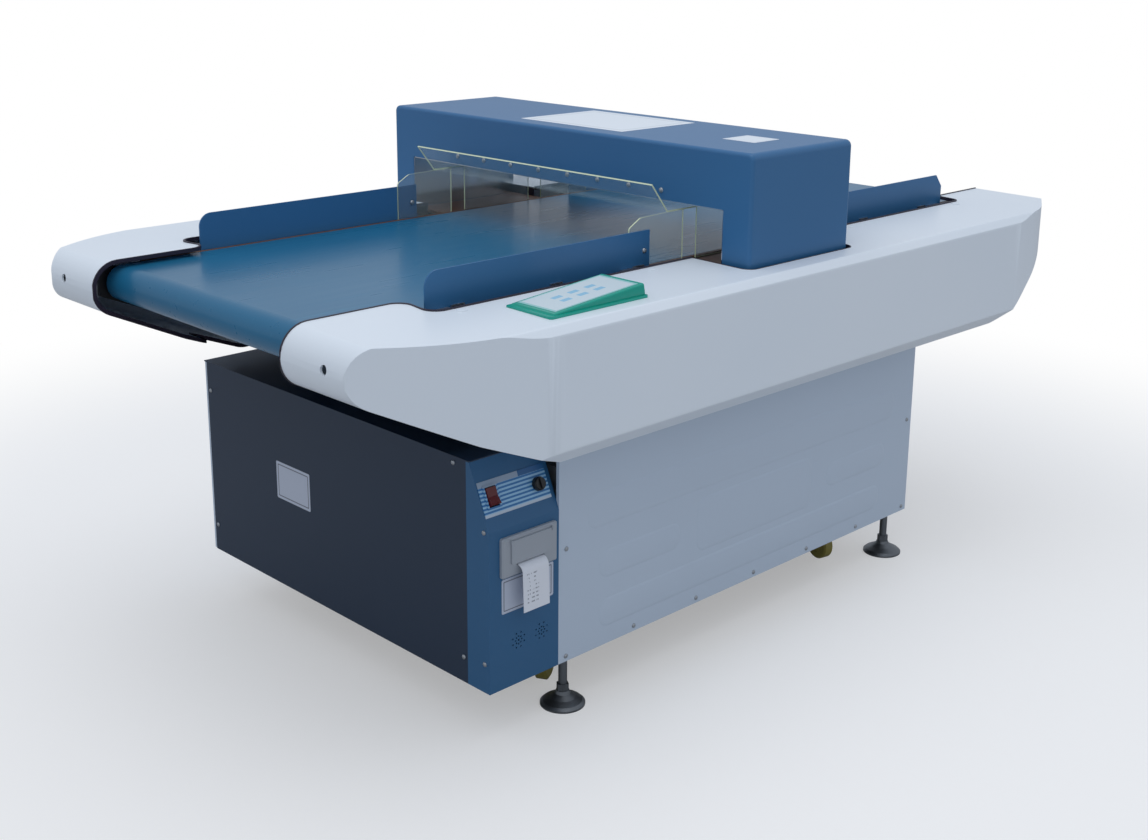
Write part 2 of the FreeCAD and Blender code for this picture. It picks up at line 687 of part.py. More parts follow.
def search_head():
    """Painted arch over the belt, its sensors, liner and base beam."""
    outer, inner = "head_half", "opening_half"
    body = new_body("head")
    arch = [(f"-{outer}", "head_low"), (f"-{outer}", "total_height", "12"), (outer, "total_height", "12"),
            (outer, "head_low"), (inner, "head_low"), (inner, "opening_top"), (f"-{inner}", "opening_top"),
            (f"-{inner}", "head_low")]
    pad(body, "x", "head_arch", "head_left", "head_right", [arch])

    def face_edge(middle, tangent):
        on_face = near(middle.x, "head_left") or near(middle.x, "head_right")
        outside = abs(middle.y) > number("head_half") - 5 or middle.z > number("total_height") - 5
        return on_face and outside and abs(tangent.x) < 0.1

    round_edges(body, "head_softened", "7", face_edge)
    t = "head_skin"
    hollow = [(f"-{outer} + {t}", f"head_low + {t}"),
              (f"-{outer} + {t}", f"total_height - {t}", "9"),
              (f"{outer} - {t}", f"total_height - {t}", "9"), (f"{outer} - {t}", f"head_low + {t}"),
              (f"{inner} + {t}", f"head_low + {t}"), (f"{inner} + {t}", f"opening_top + {t}"),
              (f"-{inner} - {t}", f"opening_top + {t}"), (f"-{inner} - {t}", f"head_low + {t}")]
    pocket(body, "x", "head_hollow", f"head_left + {t}", f"head_right - {t}", [hollow])
    keep("head_shell", body)
    keep("upper_sensor", box("upper_sensor_box", ("head_left + 32", "-opening_half + 10", "opening_top + 3"),
                             ("head_right - 32", "opening_half - 10", "opening_top + 73")))
    keep("lower_sensor", box("lower_sensor_box", ("head_left + 8", "-side_frame_inner", "694"),
                             ("head_right - 8", "side_frame_inner", "belt_top - belt_gauge - bed_gauge - 0.4")))
    low = "belt_top - belt_gauge"
    sheets = []
    for k, (a, b) in enumerate((("-opening_half", "-opening_half + 2"), ("opening_half - 2", "opening_half"))):
        corner, opposite = ("head_left + 1", a, low), ("head_right - 1", b, "opening_top - 2")
        sheets.append(box(f"liner_side_{k}", corner, opposite))
    sheets.append(box("liner_roof", ("head_left + 1", "-opening_half + 3", "opening_top - 2"),
                      ("head_right - 1", "opening_half - 3", "opening_top")))
    keep("tunnel_liner", group("tunnel_liner_group", sheets))


# ---------------------------------------------------------------- guides


def guides():
    """Painted guide rails, clear tunnel guards and flared visors."""
    low, high = "rail_low", "rail_high"
    inner, outer = "side_frame_inner + 3", "side_frame_inner + 3 + rail_gauge"
    infeed = [("-rail_far_end", low), ("-rail_far_end", high, "26"), ("-rail_near_end", high),
              ("-rail_near_end", low)]
    near_end = "head_left + head_right + rail_near_end"
    outfeed = [(near_end, low), (near_end, high), ("rail_out_end - 22", high), ("rail_out_end", f"{high} - 26"),
               ("rail_out_end", low)]
    for side, outline in (("infeed", infeed), ("outfeed", outfeed)):
        rail = prism(f"rail_{side}", "y", f"-({outer})", f"-({inner})", outline)
        keep(f"guide_rail_{side}_near", rail)
        keep(f"guide_rail_{side}_far", mirror(f"rail_{side}_mirror", rail))
    brackets = []
    stations = ("-640", "-420", "-215", "300", "480", "700")
    for k, x in enumerate(stations):
        brackets.append(box(f"rail_bracket_{k}", (f"{x} - 14", f"-({outer}) - 3", "715"),
                            (f"{x} + 14", f"-({outer})", "760")))
    clear_guards(inner)
    visors(inner)
    return brackets


def clear_guards(inner):
    """Clear sheets that close the sides of the tunnel at belt level."""
    top = "visor_low"
    outline = [("-236", "rail_low"), ("-236", "829", "8"), ("-207", f"{top} - 2", "14"),
               ("-138", top), ("-91", top), ("-91", "rail_low")]
    entry = prism("guard_entry", "y", f"-({inner})", f"-({inner} - guard_gauge)", outline)
    exit_guard = mirror("guard_exit", entry, (1, 0, 0), ("(head_left + head_right) / 2", "0", "0"))
    wall = box("guard_wall", ("-53", f"-({inner})", "rail_low"),
               ("136", f"-({inner} - guard_gauge)", top))
    near_set = group("guards_near", [entry, exit_guard, wall])
    keep("tunnel_guards", group("guards_group", [near_set, mirror("guards_far", near_set)]))


def visors(inner):
    """Clear roof sheets that flare upwards at both mouths of the tunnel."""
    middle = "(head_left + head_right) / 2"
    low, high = "visor_low", "visor_high"
    outline = [(f"{middle} - 0.5", low), ("-136.5", low), ("-180", high), ("-177.5", f"{high} + 2"),
               ("-135", f"{low} + 3"), (f"{middle} - 0.5", f"{low} + 3")]
    visor = prism("visor_entry", "y", f"-({inner})", f"({inner})", outline)
    keep("visors", group("visors_group", [visor, mirror("visor_exit", visor, (1, 0, 0), (middle, "0", "0"))]))


# ---------------------------------------------------------------- drive and take-up


def drive(centre):
    """Gear motor in the near cover, pulleys, drive belt, bearings and take-up."""
    outer = "side_frame_inner + side_frame_gauge"
    loop = [("0", "0"), ("0", "30"), ("8", "44"), ("60", "44"), ("62", "38"), ("150", "38"), ("156", "32"),
            ("156", "0")]
    loop = [(f"-({d})", r) for d, r in loop]
    body = turned("motor_can", "y", ("motor_x", "-(side_frame_inner + 40)", "motor_z"), loop)
    foot = box("motor_flange", ("motor_x - 42", "-(side_frame_inner + 80)", "motor_z - 60"),
               ("motor_x + 42", "-(side_frame_inner + 40)", "motor_z - 20"))
    shaft_bore = rod("motor_bore", "7 + running_gap", ("motor_x", "-(side_frame_inner + 56)", "motor_z"), "20", "y")
    motor = cut("gear_motor_body", fuse("gear_motor_raw", [body, foot]), shaft_bore)
    plate = box("motor_plate", ("motor_x - 62", "-(side_frame_inner + 40)", "motor_z - 62"),
                ("motor_x + 62", "-(side_frame_inner + 36)", "motor_z + 50"))
    posts = []
    for k, (dx, dz) in enumerate(((-52, -52), (52, -52), (-52, 40))):
        start = (f"motor_x + {dx}", "-(side_frame_inner + 36)", f"motor_z + {dz}")
        posts.append(rod(f"motor_post_{k}", "6", start, "36 - side_frame_gauge", "y"))
    window = rod("motor_window", "30", ("motor_x", "-(side_frame_inner + 50)", "motor_z"), "30", "y")
    bracket = fuse("motor_bracket", [cut("motor_plate_cut", plate, window)] + posts)
    keep("gear_motor", group("gear_motor_group", [motor, bracket]))
    line = PULLEY_LINE
    shaft = rod("motor_shaft", "7", ("motor_x", "-(side_frame_inner + 55.5)", "motor_z"), "42", "y")
    wheel = turned("motor_wheel", "y", ("motor_x", line, "motor_z"), PULLEY)
    keep("motor_pulley", fuse("motor_pulley_body", [wheel, shaft]))
    keep("drive_belt", drive_belt(line, centre))
    units = []
    for k, (x, y) in enumerate((("drum_centre", f"-({outer}) - 10"), ("drum_centre", outer))):
        ring = rod(f"bearing_{k}", "26", (x, y, centre), "10", "y")
        bore = rod(f"bearing_bore_{k}", "shaft_radius + running_gap", (x, f"{y} - 1", centre), "12", "y")
        units.append(cut(f"bearing_unit_{k}", ring, bore))
    blocks, brackets = take_up(outer, centre)
    keep("shaft_bearings", group("shaft_bearings_group", units + blocks))
    return brackets


def drum_pulley(centre):
    """Flanged pulley on the near end of the drive drum's shaft."""
    return cut("drum_pulley", turned("drum_wheel", "y", ("drum_centre", PULLEY_LINE, centre), PULLEY),
               rod("drum_pulley_bore", "shaft_radius", ("drum_centre", f"{PULLEY_LINE} - 10", centre), "20", "y"))


def drive_belt(line, centre):
    """Loop standing just clear of both pulleys, drawn level and then turned into place."""
    rise = number(centre) - number("motor_z")
    run = number("drum_centre") - number("motor_x")
    reach = math.hypot(rise, run)
    shapes = []
    for name, radius, half in (("loop_out", 27.2, 4.6), ("loop_in", 24.4, 6)):
        ends = [rod(f"{name}_{k}", str(radius), (str(x), str(-half), "0"), str(2 * half), "y")
                for k, x in enumerate((0, reach))]
        middle = box(f"{name}_middle", ("0", str(-half), str(-radius)), (str(reach), str(half), str(radius)))
        shapes.append(fuse(name, ends + [middle]))
    loop = cut("drive_belt_loop", *shapes)
    tilt = Rotation(Vector(0, 1, 0), -math.degrees(math.atan2(rise, run)))
    loop.Placement = Placement(Vector(), tilt)
    return bind(loop, Placement__Base__x="motor_x", Placement__Base__y=line, Placement__Base__z="motor_z")


def take_up(outer, centre):
    """Sliding block, bracket and adjuster screw at each end of the tail shaft."""
    y = "adjuster_y"
    block = box("take_up_block", ("-drum_centre - 18", f"-({y}) - 13", f"{centre} - 20"),
                ("-drum_centre + 18", f"-({y}) + 13", f"{centre} + 20"))
    bore = rod("take_up_bore", "shaft_radius + running_gap", ("-drum_centre", f"-({y}) - 20", centre), "40", "y")
    near_block = cut("take_up_block_near", block, bore)
    blocks = [near_block, mirror("take_up_block_far", near_block)]
    wall = box("bracket_wall", ("-drum_centre - 46", f"-({y}) - 16", f"{centre} - 28"),
               ("-drum_centre - 42", f"-({outer})", f"{centre} + 26"))
    shelf = box("bracket_shelf", ("-drum_centre - 42", f"-({y}) - 16", f"{centre} - 24"),
                ("-drum_centre + 60", f"-({outer})", f"{centre} - 20"))
    hole = rod("bracket_hole", "5.3", ("-drum_centre - 50", f"-({y})", "adjuster_z"), "12", "x")
    near_bracket = cut("take_up_bracket_near", fuse("bracket_pair", [wall, shelf]), hole)
    stem = rod("adjuster_stem", "5", ("-drum_centre - 56", f"-({y})", "adjuster_z"), "38", "x")
    head = doc.addObject("Part::Prism", "adjuster_head")
    head.Polygon = 6
    head.Placement = Placement(Vector(), TURNS["x"])
    bind(head, Circumradius="9", Height="6.5", Placement__Base__x="-drum_centre - 62.5",
         Placement__Base__y=f"-({y})", Placement__Base__z="adjuster_z")
    near_screw = fuse("adjuster_near", [stem, head])
    keep("tension_screw_near", near_screw)
    keep("tension_screw_far", mirror("adjuster_far", near_screw))
    return blocks, [near_bracket]


# ---------------------------------------------------------------- controls


def slope_placement():
    """Frame on the sloped control face: X along the machine, Y up the slope, Z out of it."""
    rise = number("cabinet_top - sheet - slope_low")
    back = number("slope_back + 2")
    turn = Rotation(Vector(1, 0, 0), math.degrees(math.atan2(rise, back)))
    return Placement(Vector(0, number("-cabinet_half - 2"), number("slope_low")), turn)


def controls():
    """Switch plate, rocker, knob, speakers and the console on the near cover."""
    plate = box("plate_blank", ("-655", "25", "0"), ("-508", "85", "1.5"))
    window = box("rocker_window", ("-643.5", "40", "-10"), ("-620.5", "74", "10"))
    spindle_hole = rod("knob_hole", "4 + running_gap", ("-531", "53", "-10"), "20")
    openings = fuse("plate_openings", [window, spindle_hole])
    frame = cut("rocker_frame", box("rocker_rim", ("-647", "37", "1.5"), ("-617", "77", "4")), window)
    pin_bore = rod("rocker_bore", "1.5 + running_gap", ("-645.2", "57", "2"), "26.4", "x")
    switch = cut("switch_plate_body", fuse("switch_plate_raw", [cut("plate_cut", plate, openings), frame]), pin_bore)
    switch.Placement = slope_placement()
    keep("switch_plate", switch)
    openings_in_sheet = fuse("sheet_openings", [openings])
    openings_in_sheet.Placement = slope_placement()
    keep("control_column", cut("column_pierced", parts["control_column"], openings_in_sheet))
    rocker = prism("rocker_key", "x", "-642.5", "-621.5",
                   [("-15", "-6"), ("15", "-6"), ("15", "6"), ("0", "3.5"), ("-15", "6")])
    tilted = fuse("rocker_tilted", [rocker, rod("rocker_pin", "1.5", ("-645", "0", "0"), "26", "x")])
    tilted.Placement = slope_placement().multiply(
        Placement(Vector(0, 57, 2), Rotation(Vector(1, 0, 0), -7)))
    keep("power_rocker", tilted)
    cap = turned("knob_cap", "z", ("-531", "53", "0"),
                 [("2.2", "0"), ("2.2", "12"), ("9", "12"), ("12", "10.5"), ("12", "0")])
    ridge = box("knob_ridge", ("-533", "44", "11"), ("-529", "62", "15"))
    stem = rod("knob_stem", "4", ("-531", "53", "-8"), "12")
    knob = fuse("knob_body", [cap, ridge, stem])
    knob.Placement = slope_placement()
    keep("volume_knob", knob)
    discs = [turned(f"speaker_{k}", "y", (str(x), "-cabinet_half", "183"),
                    [("0", "0"), ("0", "24"), ("6", "24"), ("14", "12"), ("22", "12"), ("22", "0")])
             for k, x in enumerate((-592, -539))]
    keep("speakers", group("speakers_group", discs))
    console()


def console():
    """Wedge keypad housing seated on the crowned cover."""
    left, right, front, back = "console_left", "console_right", "console_front", "console_back"
    low = "cover_top"
    flange = prism("console_flange", "z", f"{low} - 4", f"{low} + 4.5",
                   [(left, front, "6"), (right, front, "6"), (right, back, "6"), (left, back, "6")])
    body = new_body("console_wedge")
    side = [(f"{left} + 4", f"{low} - 4"), (f"{right} - 3", f"{low} - 4"), (f"{right} - 8", f"{low} + 24"),
            (f"{left} + 12", f"{low} + 7")]
    pad(body, "y", "console_wedge_pad", f"{front} + 5", f"{back} - 3", [side])

    def top_edge(middle, tangent):
        return middle.z > number("cover_top") + 6 and abs(tangent.x) > 0.9

    round_edges(body, "console_soft", "3", top_edge)
    seat = cover_block("console_seat", "0", "0")
    keep("console_housing", cut("console_body", fuse("console_raw", [flange, body]), seat))
    rise = number("17")
    run = number(f"{right} - 8 - ({left} + 12)")
    overlay = doc.addObject("Part::Box", "overlay_sheet")
    bind(overlay, Length=f"{right} - {left} - 34", Width=f"{back} - {front} - 20", Height="0.6")
    overlay.Placement = Placement(Vector(), Rotation(Vector(0, 1, 0), -math.degrees(math.atan2(rise, run))))
    bind(overlay, Placement__Base__x=f"{left} + 19", Placement__Base__y=f"{front} + 11",
         Placement__Base__z=f"{low} + 7.62")
    keep("console_overlay", overlay)


def printer():
    """Panel printer: bezel with its paper well, door, roll and the printed strip."""
    face = "-cabinet_half - 2"
    left, right, low, high = "printer_left", "printer_right", "printer_low", "printer_high"
    body = new_body("printer_case")
    outline = [(left, low, "4"), (right, low, "4"), (right, high, "4"), (left, high, "4")]
    pad(body, "y", "printer_bezel", f"{face} - 8", face, [outline])

    def rim(middle, tangent):
        return near(middle.y, f"{face} - 8") and abs(tangent.y) < 0.1

    round_edges(body, "printer_bevel", "3", rim, "PartDesign::Chamfer")
    pad(body, "y", "printer_well", face, f"{face} + 70", [rectangle(("-625", "315"), ("-518", "370"))])
    for name, depth, low_corner, high_corner in (("well", "66", ("-611", "333"), ("-531", "367")),
                                                 ("slot", "30", ("-603", "325"), ("-540", "328"))):
        pocket(body, "y", f"paper_{name}", f"{face} - 10", f"{face} + {depth}",
               [rectangle(low_corner, high_corner)])
    pocket(body, "x", "spindle_bores", "-614.2", "-527.8", (), [((f"{face} + 30", "350"), "3 + running_gap")])
    pin_place = (f"{face} - 9.7", "370.5")
    lugs = [box(f"door_lug_{k}", (x, f"{face} - 12.5", "367"), (f"{x} + 1.7", f"{face} - 7", "374"))
            for k, x in enumerate(("-618", "-525.7"))]
    pin_bore = rod("door_pin_bore", "1.2 + running_gap", ("-619", *pin_place), "96", "x")
    keep("printer_case", cut("printer_case_pierced", fuse("printer_case_raw", [body] + lugs), pin_bore))
    leaf = prism("printer_door_leaf", "y", f"{face} - 11", f"{face} - 8.3",
                 [("-616", "330.5", "2"), ("-526", "330.5", "2"), ("-526", "371"), ("-616", "371")])
    keep("printer_door", fuse("printer_door_body", [leaf, rod("door_pin", "1.2", ("-618", *pin_place), "94", "x")]))
    roll = [("-43", "0"), ("-43", "3"), ("-29", "3"), ("-29", "15"), ("29", "15"), ("29", "3"),
            ("43", "3"), ("43", "0")]
    keep("paper_roll", turned("paper_roll_body", "x", ("-571", f"{face} + 30", "350"), roll))
    strip = [(f"{face} - 4", "326.6"), (f"{face} - 20.4", "325.6", "14.6"), (f"{face} - 23.4", "243"),
             (f"{face} - 22.8", "243"), (f"{face} - 19.8", "325", "14"), (f"{face} - 4", "326")]
    keep("paper_strip", prism("paper_strip_body", "x", "-601", "-542", strip))


def electronics():
    """Boxes on the equipment floor and the cable inlet."""
    floor = "cabinet_floor + 0.5 + tube + 3"
    cases = []
    for name, low, high in (("control", ("-380", "-320", floor), ("-100", "-120", f"{floor} + 160")),
                            ("power", ("-60", "-300", floor), ("140", "-190", f"{floor} + 80"))):
        inner_low = [f"({a}) + sheet" for a in low]
        inner_high = [f"({a}) - sheet" for a in high]
        cases.append(cut(f"{name}_case", box(f"{name}_outside", low, high),
                         box(f"{name}_inside", inner_low, inner_high)))
    keep("electronics_boxes", group("electronics_group", cases))
    face = "cabinet_half + 2"
    loop = [("-14", "4.5"), ("-14", "9.8"), ("0", "9.8"), ("0", "14"), ("8", "14"), ("10", "12"), ("22", "12"),
            ("26", "9"), ("26", "4.5")]
    keep("cable_gland", turned("gland_body", "y", ("480", face, "220"), loop))
    hole = rod("gland_hole", "10", ("480", "cabinet_half - 10", "220"), "20", "y")
    keep("side_panel_far", cut("side_panel_far_pierced", parts["side_panel_far"], hole))


# ---------------------------------------------------------------- floor hardware


def hexagon(name, across, centre, height):
    """Upright hexagonal prism on a centre point."""
    nut = doc.addObject("Part::Prism", name)
    nut.Polygon = 6
    bind(nut, Circumradius=f"({across}) / 1.732", Height=height)
    return bind(nut, Placement__Base__x=centre[0], Placement__Base__y=centre[1], Placement__Base__z=centre[2])


def levelling_feet():
    """Domed pad on a threaded stem at each post, with its lock nut under the frame."""
    nuts = []
    for side, x, y in CORNERS:
        loop = [("0", "0"), ("0", "pad_radius"), ("3.5", "pad_radius"), ("8", "pad_radius - 5"), ("14", "24"),
                ("21", "14"), ("27", "12"), ("27", "stem_radius"), ("128", "stem_radius"), ("128", "0")]
        foot = turned(f"foot_{side}", "z", (x, y, "0"), loop)
        keep(f"levelling_foot_{side}", fuse(f"levelling_foot_body_{side}",
                                            [foot, hexagon(f"foot_hex_{side}", "20", (x, y, "27"), "13")]))
        nut = hexagon(f"nut_{side}", "26", (x, y, "cabinet_floor - 13"), "13.4")
        bore = rod(f"nut_bore_{side}", "stem_radius + thread_gap", (x, y, "cabinet_floor - 20"), "90")
        nuts.append(cut(f"lock_nut_{side}", nut, bore))
    keep("foot_lock_nuts", group("foot_lock_nuts_group", nuts))


def castors():
    """Swivel castors that clear the floor while the machine stands on its feet."""
    top = "cabinet_floor"
    axle = "castor_radius + castor_clear"
    for side, x, y, heading in CASTORS:
        race = rod(f"race_{side}", "22", ("0", "0", f"{top} - 12.5"), "8")
        pin = rod(f"kingpin_{side}", "6", ("0", "0", f"{top} - 12.5"), "12.5")
        cheeks = []
        for k, (a, b) in enumerate((("-18", "-15"), ("15", "18"))):
            cheek = prism(f"cheek_{side}_{k}", "y", a, b,
                          [("-18", f"{top} - 12.5"), ("20", f"{top} - 12.5"),
                           ("castor_trail + 9", f"{axle} - 8", "8"), ("castor_trail - 9", f"{axle} - 8", "8")])
            cheeks.append(cheek)
        bridge = box(f"bridge_{side}", ("-18", "-18", f"{top} - 15.5"), ("20", "18", f"{top} - 12.5"))
        bolt = rod(f"axle_{side}", "4", ("castor_trail", "-20", axle), "40", "y")
        fork = fuse(f"fork_{side}", [race, pin, bridge, bolt] + cheeks)
        place = Placement(Vector(number(x), number(y), 0), Rotation(Vector(0, 0, 1), heading))
        fork.Placement = place
        keep(f"castor_fork_{side}", fork)
        loop = [("-14", "4 + running_gap"), ("-14", "12"), ("-12", "14"), ("-12", "castor_radius - 5"),
                ("-9", "castor_radius"), ("9", "castor_radius"), ("12", "castor_radius - 5"), ("12", "14"),
                ("14", "12"), ("14", "4 + running_gap")]
        wheel = group(f"castor_wheel_group_{side}",
                      [turned(f"wheel_{side}", "y", ("castor_trail", "0", axle), loop)])
        wheel.Placement = place
        keep(f"castor_wheel_{side}", wheel)


def main():
    cabinet_frame()
    cabinet_skin()
    control_column()
    centre, roller_z = conveyor()
    slider_bed()
    side_frames(centre, roller_z)
    brackets = side_covers()
    search_head()
    brackets += guides()
    brackets += drive(centre)
    near_set = group("brackets_near", brackets)
    keep("mounting_brackets", group("mounting_brackets_group", [near_set, mirror("brackets_far", near_set)]))
    controls()
    printer()
    electronics()
    levelling_feet()
    castors()
    finish()


def finish():
    """Recompute, test every object and write each sub-part's file."""
    doc.recompute()
    for thing in doc.Objects:
        if "Invalid" in thing.State or "Error" in thing.State:
            raise RuntimeError(f"{thing.Name} is {thing.State}")
    os.makedirs("parts", exist_ok=True)
    for label, thing in parts.items():
        shape = thing.Shape
        if shape.isNull() or not shape.isValid() or not shape.Solids:
            raise RuntimeError(f"{label} has no valid solid")
        shape.exportStep(f"parts/{label}.step")
        print(f"{label}: {len(shape.Solids)} solid(s), {shape.Volume / 1000:.1f} cm3")


main()
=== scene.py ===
# %% [markdown]
# # A belt conveyor metal detector
#
# The machine's solids come packed as a fixed frame.  This file gives each of them its finish, models the two
# moulded covers again with their full curves, and adds what is too small or too thin to be a solid: screws,
# stickers, printed faces, pressed ribs.  The frame says where the solids are.  The numbers written here are
# sizes of the machine itself, in metres, or in millimetres where a cell says so.

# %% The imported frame
import math

import bmesh
import bpy
from mathutils import Matrix, Vector


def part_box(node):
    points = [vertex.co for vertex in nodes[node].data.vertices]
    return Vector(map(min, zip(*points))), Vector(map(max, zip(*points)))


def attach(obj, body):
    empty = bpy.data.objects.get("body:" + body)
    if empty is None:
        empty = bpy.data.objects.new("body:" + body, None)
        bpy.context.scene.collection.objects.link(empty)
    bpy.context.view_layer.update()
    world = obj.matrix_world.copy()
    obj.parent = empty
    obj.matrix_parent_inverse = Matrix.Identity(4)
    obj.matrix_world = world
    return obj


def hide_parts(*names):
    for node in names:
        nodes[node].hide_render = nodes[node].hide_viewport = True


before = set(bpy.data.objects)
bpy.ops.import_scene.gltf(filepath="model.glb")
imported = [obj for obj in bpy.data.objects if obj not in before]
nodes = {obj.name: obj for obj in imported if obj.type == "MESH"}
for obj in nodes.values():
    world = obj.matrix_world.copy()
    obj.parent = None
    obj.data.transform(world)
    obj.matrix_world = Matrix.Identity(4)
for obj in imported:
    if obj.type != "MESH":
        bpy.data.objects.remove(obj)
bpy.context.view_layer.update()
MM = 0.001
BODY = "machine"


def new_object(name, data):
    """Object at the origin that shows a mesh, a camera or a lamp."""
    thing = bpy.data.objects.new(name, data)
    bpy.context.scene.collection.objects.link(thing)
    return thing



# %% [markdown]
# ## Camera
#
# The view is that of someone who stands at the infeed corner on the operator's side, a little over two
# metres away, and looks down by fifteen degrees.  Azimuth, elevation and roll turn the camera one after
# the other, and a small shift sets the frame without tilting the uprights.

# %% Camera
AZIMUTH, ELEVATION, ROLL = (math.radians(angle) for angle in (-44.414, 14.844, 0.43))
camera_data = bpy.data.cameras.new("viewer")
camera_data.sensor_width = 36.0
camera_data.lens = 46.9
camera_data.shift_x = 0.0012
camera_data.shift_y = -0.0789
camera = new_object("viewer", camera_data)
STAND = Matrix.Translation((-2.1467, -2.1435, 1.3393))
turn = Matrix.Rotation(AZIMUTH, 4, "Z") @ Matrix.Rotation(math.pi / 2 - ELEVATION, 4, "X")
camera.matrix_world = STAND @ turn @ Matrix.Rotation(ROLL, 4, "Z")
bpy.context.scene.camera = camera
bpy.context.scene.view_settings.view_transform = "Standard"


# %% [markdown]
# ## Shader sums written as Python
#
# A finish is a small graph of nodes.  `Wire` wraps an output socket so that `1 - mask * 0.5` adds the Math
# nodes by itself, and `Finish` owns one material and makes every other node with one method.

# %% Shader helpers
class Wire:
    """Output socket of a finish: + - * / on it add Math nodes."""

    def __init__(self, finish, socket):
        self.finish = finish
        self.socket = socket

    def math(self, operation, *values):
        return self.finish.node("ShaderNodeMath", {"operation": operation}, dict(enumerate(values)))

    def __add__(self, other):
        return self.math("ADD", self, other)

    def __sub__(self, other):
        return self.math("SUBTRACT", self, other)

    def __rsub__(self, other):
        return self.math("SUBTRACT", other, self)

    def __mul__(self, other):
        return self.math("MULTIPLY", self, other)

    def __truediv__(self, other):
        return self.math("DIVIDE", self, other)

    __radd__ = __add__
    __rmul__ = __mul__

    def above(self, level):
        return self.math("GREATER_THAN", self, level)

    def below(self, level):
        return self.math("LESS_THAN", self, level)

    def between(self, low, high):
        return self.above(low) * self.below(high)

    def size(self):
        return self.math("ABSOLUTE", self)

    def sine(self):
        return self.math("SINE", self)

    def root(self):
        return self.math("SQRT", self)

    def fraction(self):
        """What is left after the whole number, so it runs from 0 to 1 again and again."""
        return self.math("FRACT", self)

    def larger(self, other):
        return self.math("MAXIMUM", self, other)

    def ramp(self, low, high):
        """0 below one level, 1 above the other, smooth between."""
        inputs = {"Value": self, "From Min": low, "From Max": high}
        return self.finish.node("ShaderNodeMapRange", {"interpolation_type": "SMOOTHSTEP"}, inputs)


def srgb(red, green, blue, alpha=1.0):
    """Colour given as it looks on a screen, 0 to 255, in the linear values that a shader takes."""
    linear = []
    for value in (red, green, blue):
        share = value / 255
        linear.append(share / 12.92 if share <= 0.04045 else ((share + 0.055) / 1.055) ** 2.4)
    return (*linear, alpha)


class Finish:
    """One material with a Principled shader."""

    def __init__(self, name, **sockets):
        self.material = bpy.data.materials.new(name)
        self.material.use_nodes = True
        self.tree = self.material.node_tree
        self.shader = self.tree.nodes["Principled BSDF"]
        for socket, value in sockets.items():
            self.set(socket.replace("_", " "), value)

    def node(self, kind, settings=None, inputs=None, output=0):
        """Any node: settings first, then values or links of its sockets."""
        made = self.tree.nodes.new(kind)
        for key, value in (settings or {}).items():
            if key == "stops":
                self.fill_ramp(made.color_ramp, value)
            else:
                setattr(made, key, value)
        for key, value in (inputs or {}).items():
            self.feed(made.inputs[key], value)
        return Wire(self, made.outputs[output])

    def feed(self, socket, value):
        if isinstance(value, Wire):
            self.tree.links.new(value.socket, socket)
        else:
            socket.default_value = value

    def fill_ramp(self, ramp, stops):
        while len(ramp.elements) < len(stops):
            ramp.elements.new(0.5)
        for element, (position, colour) in zip(ramp.elements, stops):
            element.position = position
            element.color = colour

    def set(self, socket, value):
        self.feed(self.shader.inputs[socket], value)

    def place(self):
        """Coordinates on the object, in metres."""
        return self.node("ShaderNodeTexCoord", output="Object")

    def mapped(self, scale):
        """Coordinates that stretch a pattern along each axis by scale."""
        inputs = {"Vector": self.place(), "Scale": scale}
        return self.node("ShaderNodeMapping", {"vector_type": "TEXTURE"}, inputs)

    def axes(self, vector):
        """The three numbers of a vector."""
        split = self.tree.nodes.new("ShaderNodeSeparateXYZ")
        self.feed(split.inputs[0], vector)
        return [Wire(self, output) for output in split.outputs]

    def noise(self, scale, detail=2.0, vector=None):
        inputs = {"Vector": vector or self.place(), "Scale": scale, "Detail": detail}
        return self.node("ShaderNodeTexNoise", {}, inputs)

    def blend(self, factor, first, second):
        """Colour between two colours."""
        settings = {"data_type": "RGBA"}
        return self.node("ShaderNodeMix", settings, {0: factor, 6: first, 7: second}, output=2)

    def bump(self, height, distance, strength):
        """Relief on the surface; gives the finish back, so that a recipe can end with it."""
        inputs = {"Height": height, "Distance": distance, "Strength": strength}
        self.set("Normal", self.node("ShaderNodeBump", {}, inputs))
        return self


def shade(colour, factor):
    """A colour made lighter or darker."""
    return (*[min(1.0, value * factor) for value in colour[:3]], 1.0)


# %% [markdown]
# ## Paints
#
# The sheet metal wears powder coat: a colour with a very fine pebbled skin.  Two noises do it.  A slow one
# moves the colour by a few percent, as a hand-sprayed coat does, and a fast one lifts the surface by a
# few hundredths of a millimetre, which breaks up the reflections.

# %% Paints
PEBBLES = 900.0
PEBBLE_HEIGHT = 0.00003


def powder_coat(name, colour, roughness, drift=0.05):
    """Sprayed and baked paint; drift is the share by which its colour wanders."""
    paint = Finish(name, Roughness=roughness, Specular_IOR_Level=0.45)
    slow = paint.noise(2.3, 3.0)
    paint.set("Base Color", paint.blend(slow, shade(colour, 1 - drift), shade(colour, 1 + drift)))
    fine = paint.noise(PEBBLES, 1.0)
    paint.set("Roughness", roughness - 0.06 + fine * 0.12)
    return paint.bump(fine, PEBBLE_HEIGHT, 0.5).material


blue_paint = powder_coat("blue_powder_coat", srgb(52, 108, 156), 0.38)
column_paint = powder_coat("column_powder_coat", srgb(46, 98, 140), 0.42)
# Navy is the blue paint darkened for the shade under the conveyor: painted shade on the end panels, which the
# cabinet sheets share.
shaded_blue_paint = powder_coat("shaded_blue_powder_coat", srgb(32, 50, 72), 0.45)
panel_paint = powder_coat("panel_powder_coat", srgb(196, 210, 226), 0.4, drift=0.015)
frame_paint = powder_coat("frame_grey_paint", srgb(110, 114, 120), 0.5)
black_paint = powder_coat("black_paint", srgb(26, 27, 30), 0.4)
motor_paint = powder_coat("motor_enamel", srgb(125, 130, 138), 0.35)


# %% [markdown]
# ## Moulded covers
#
# The side covers are moulded and sprayed: smoother than powder coat, with a soft gloss and the long, shallow
# waves that a large moulding keeps.

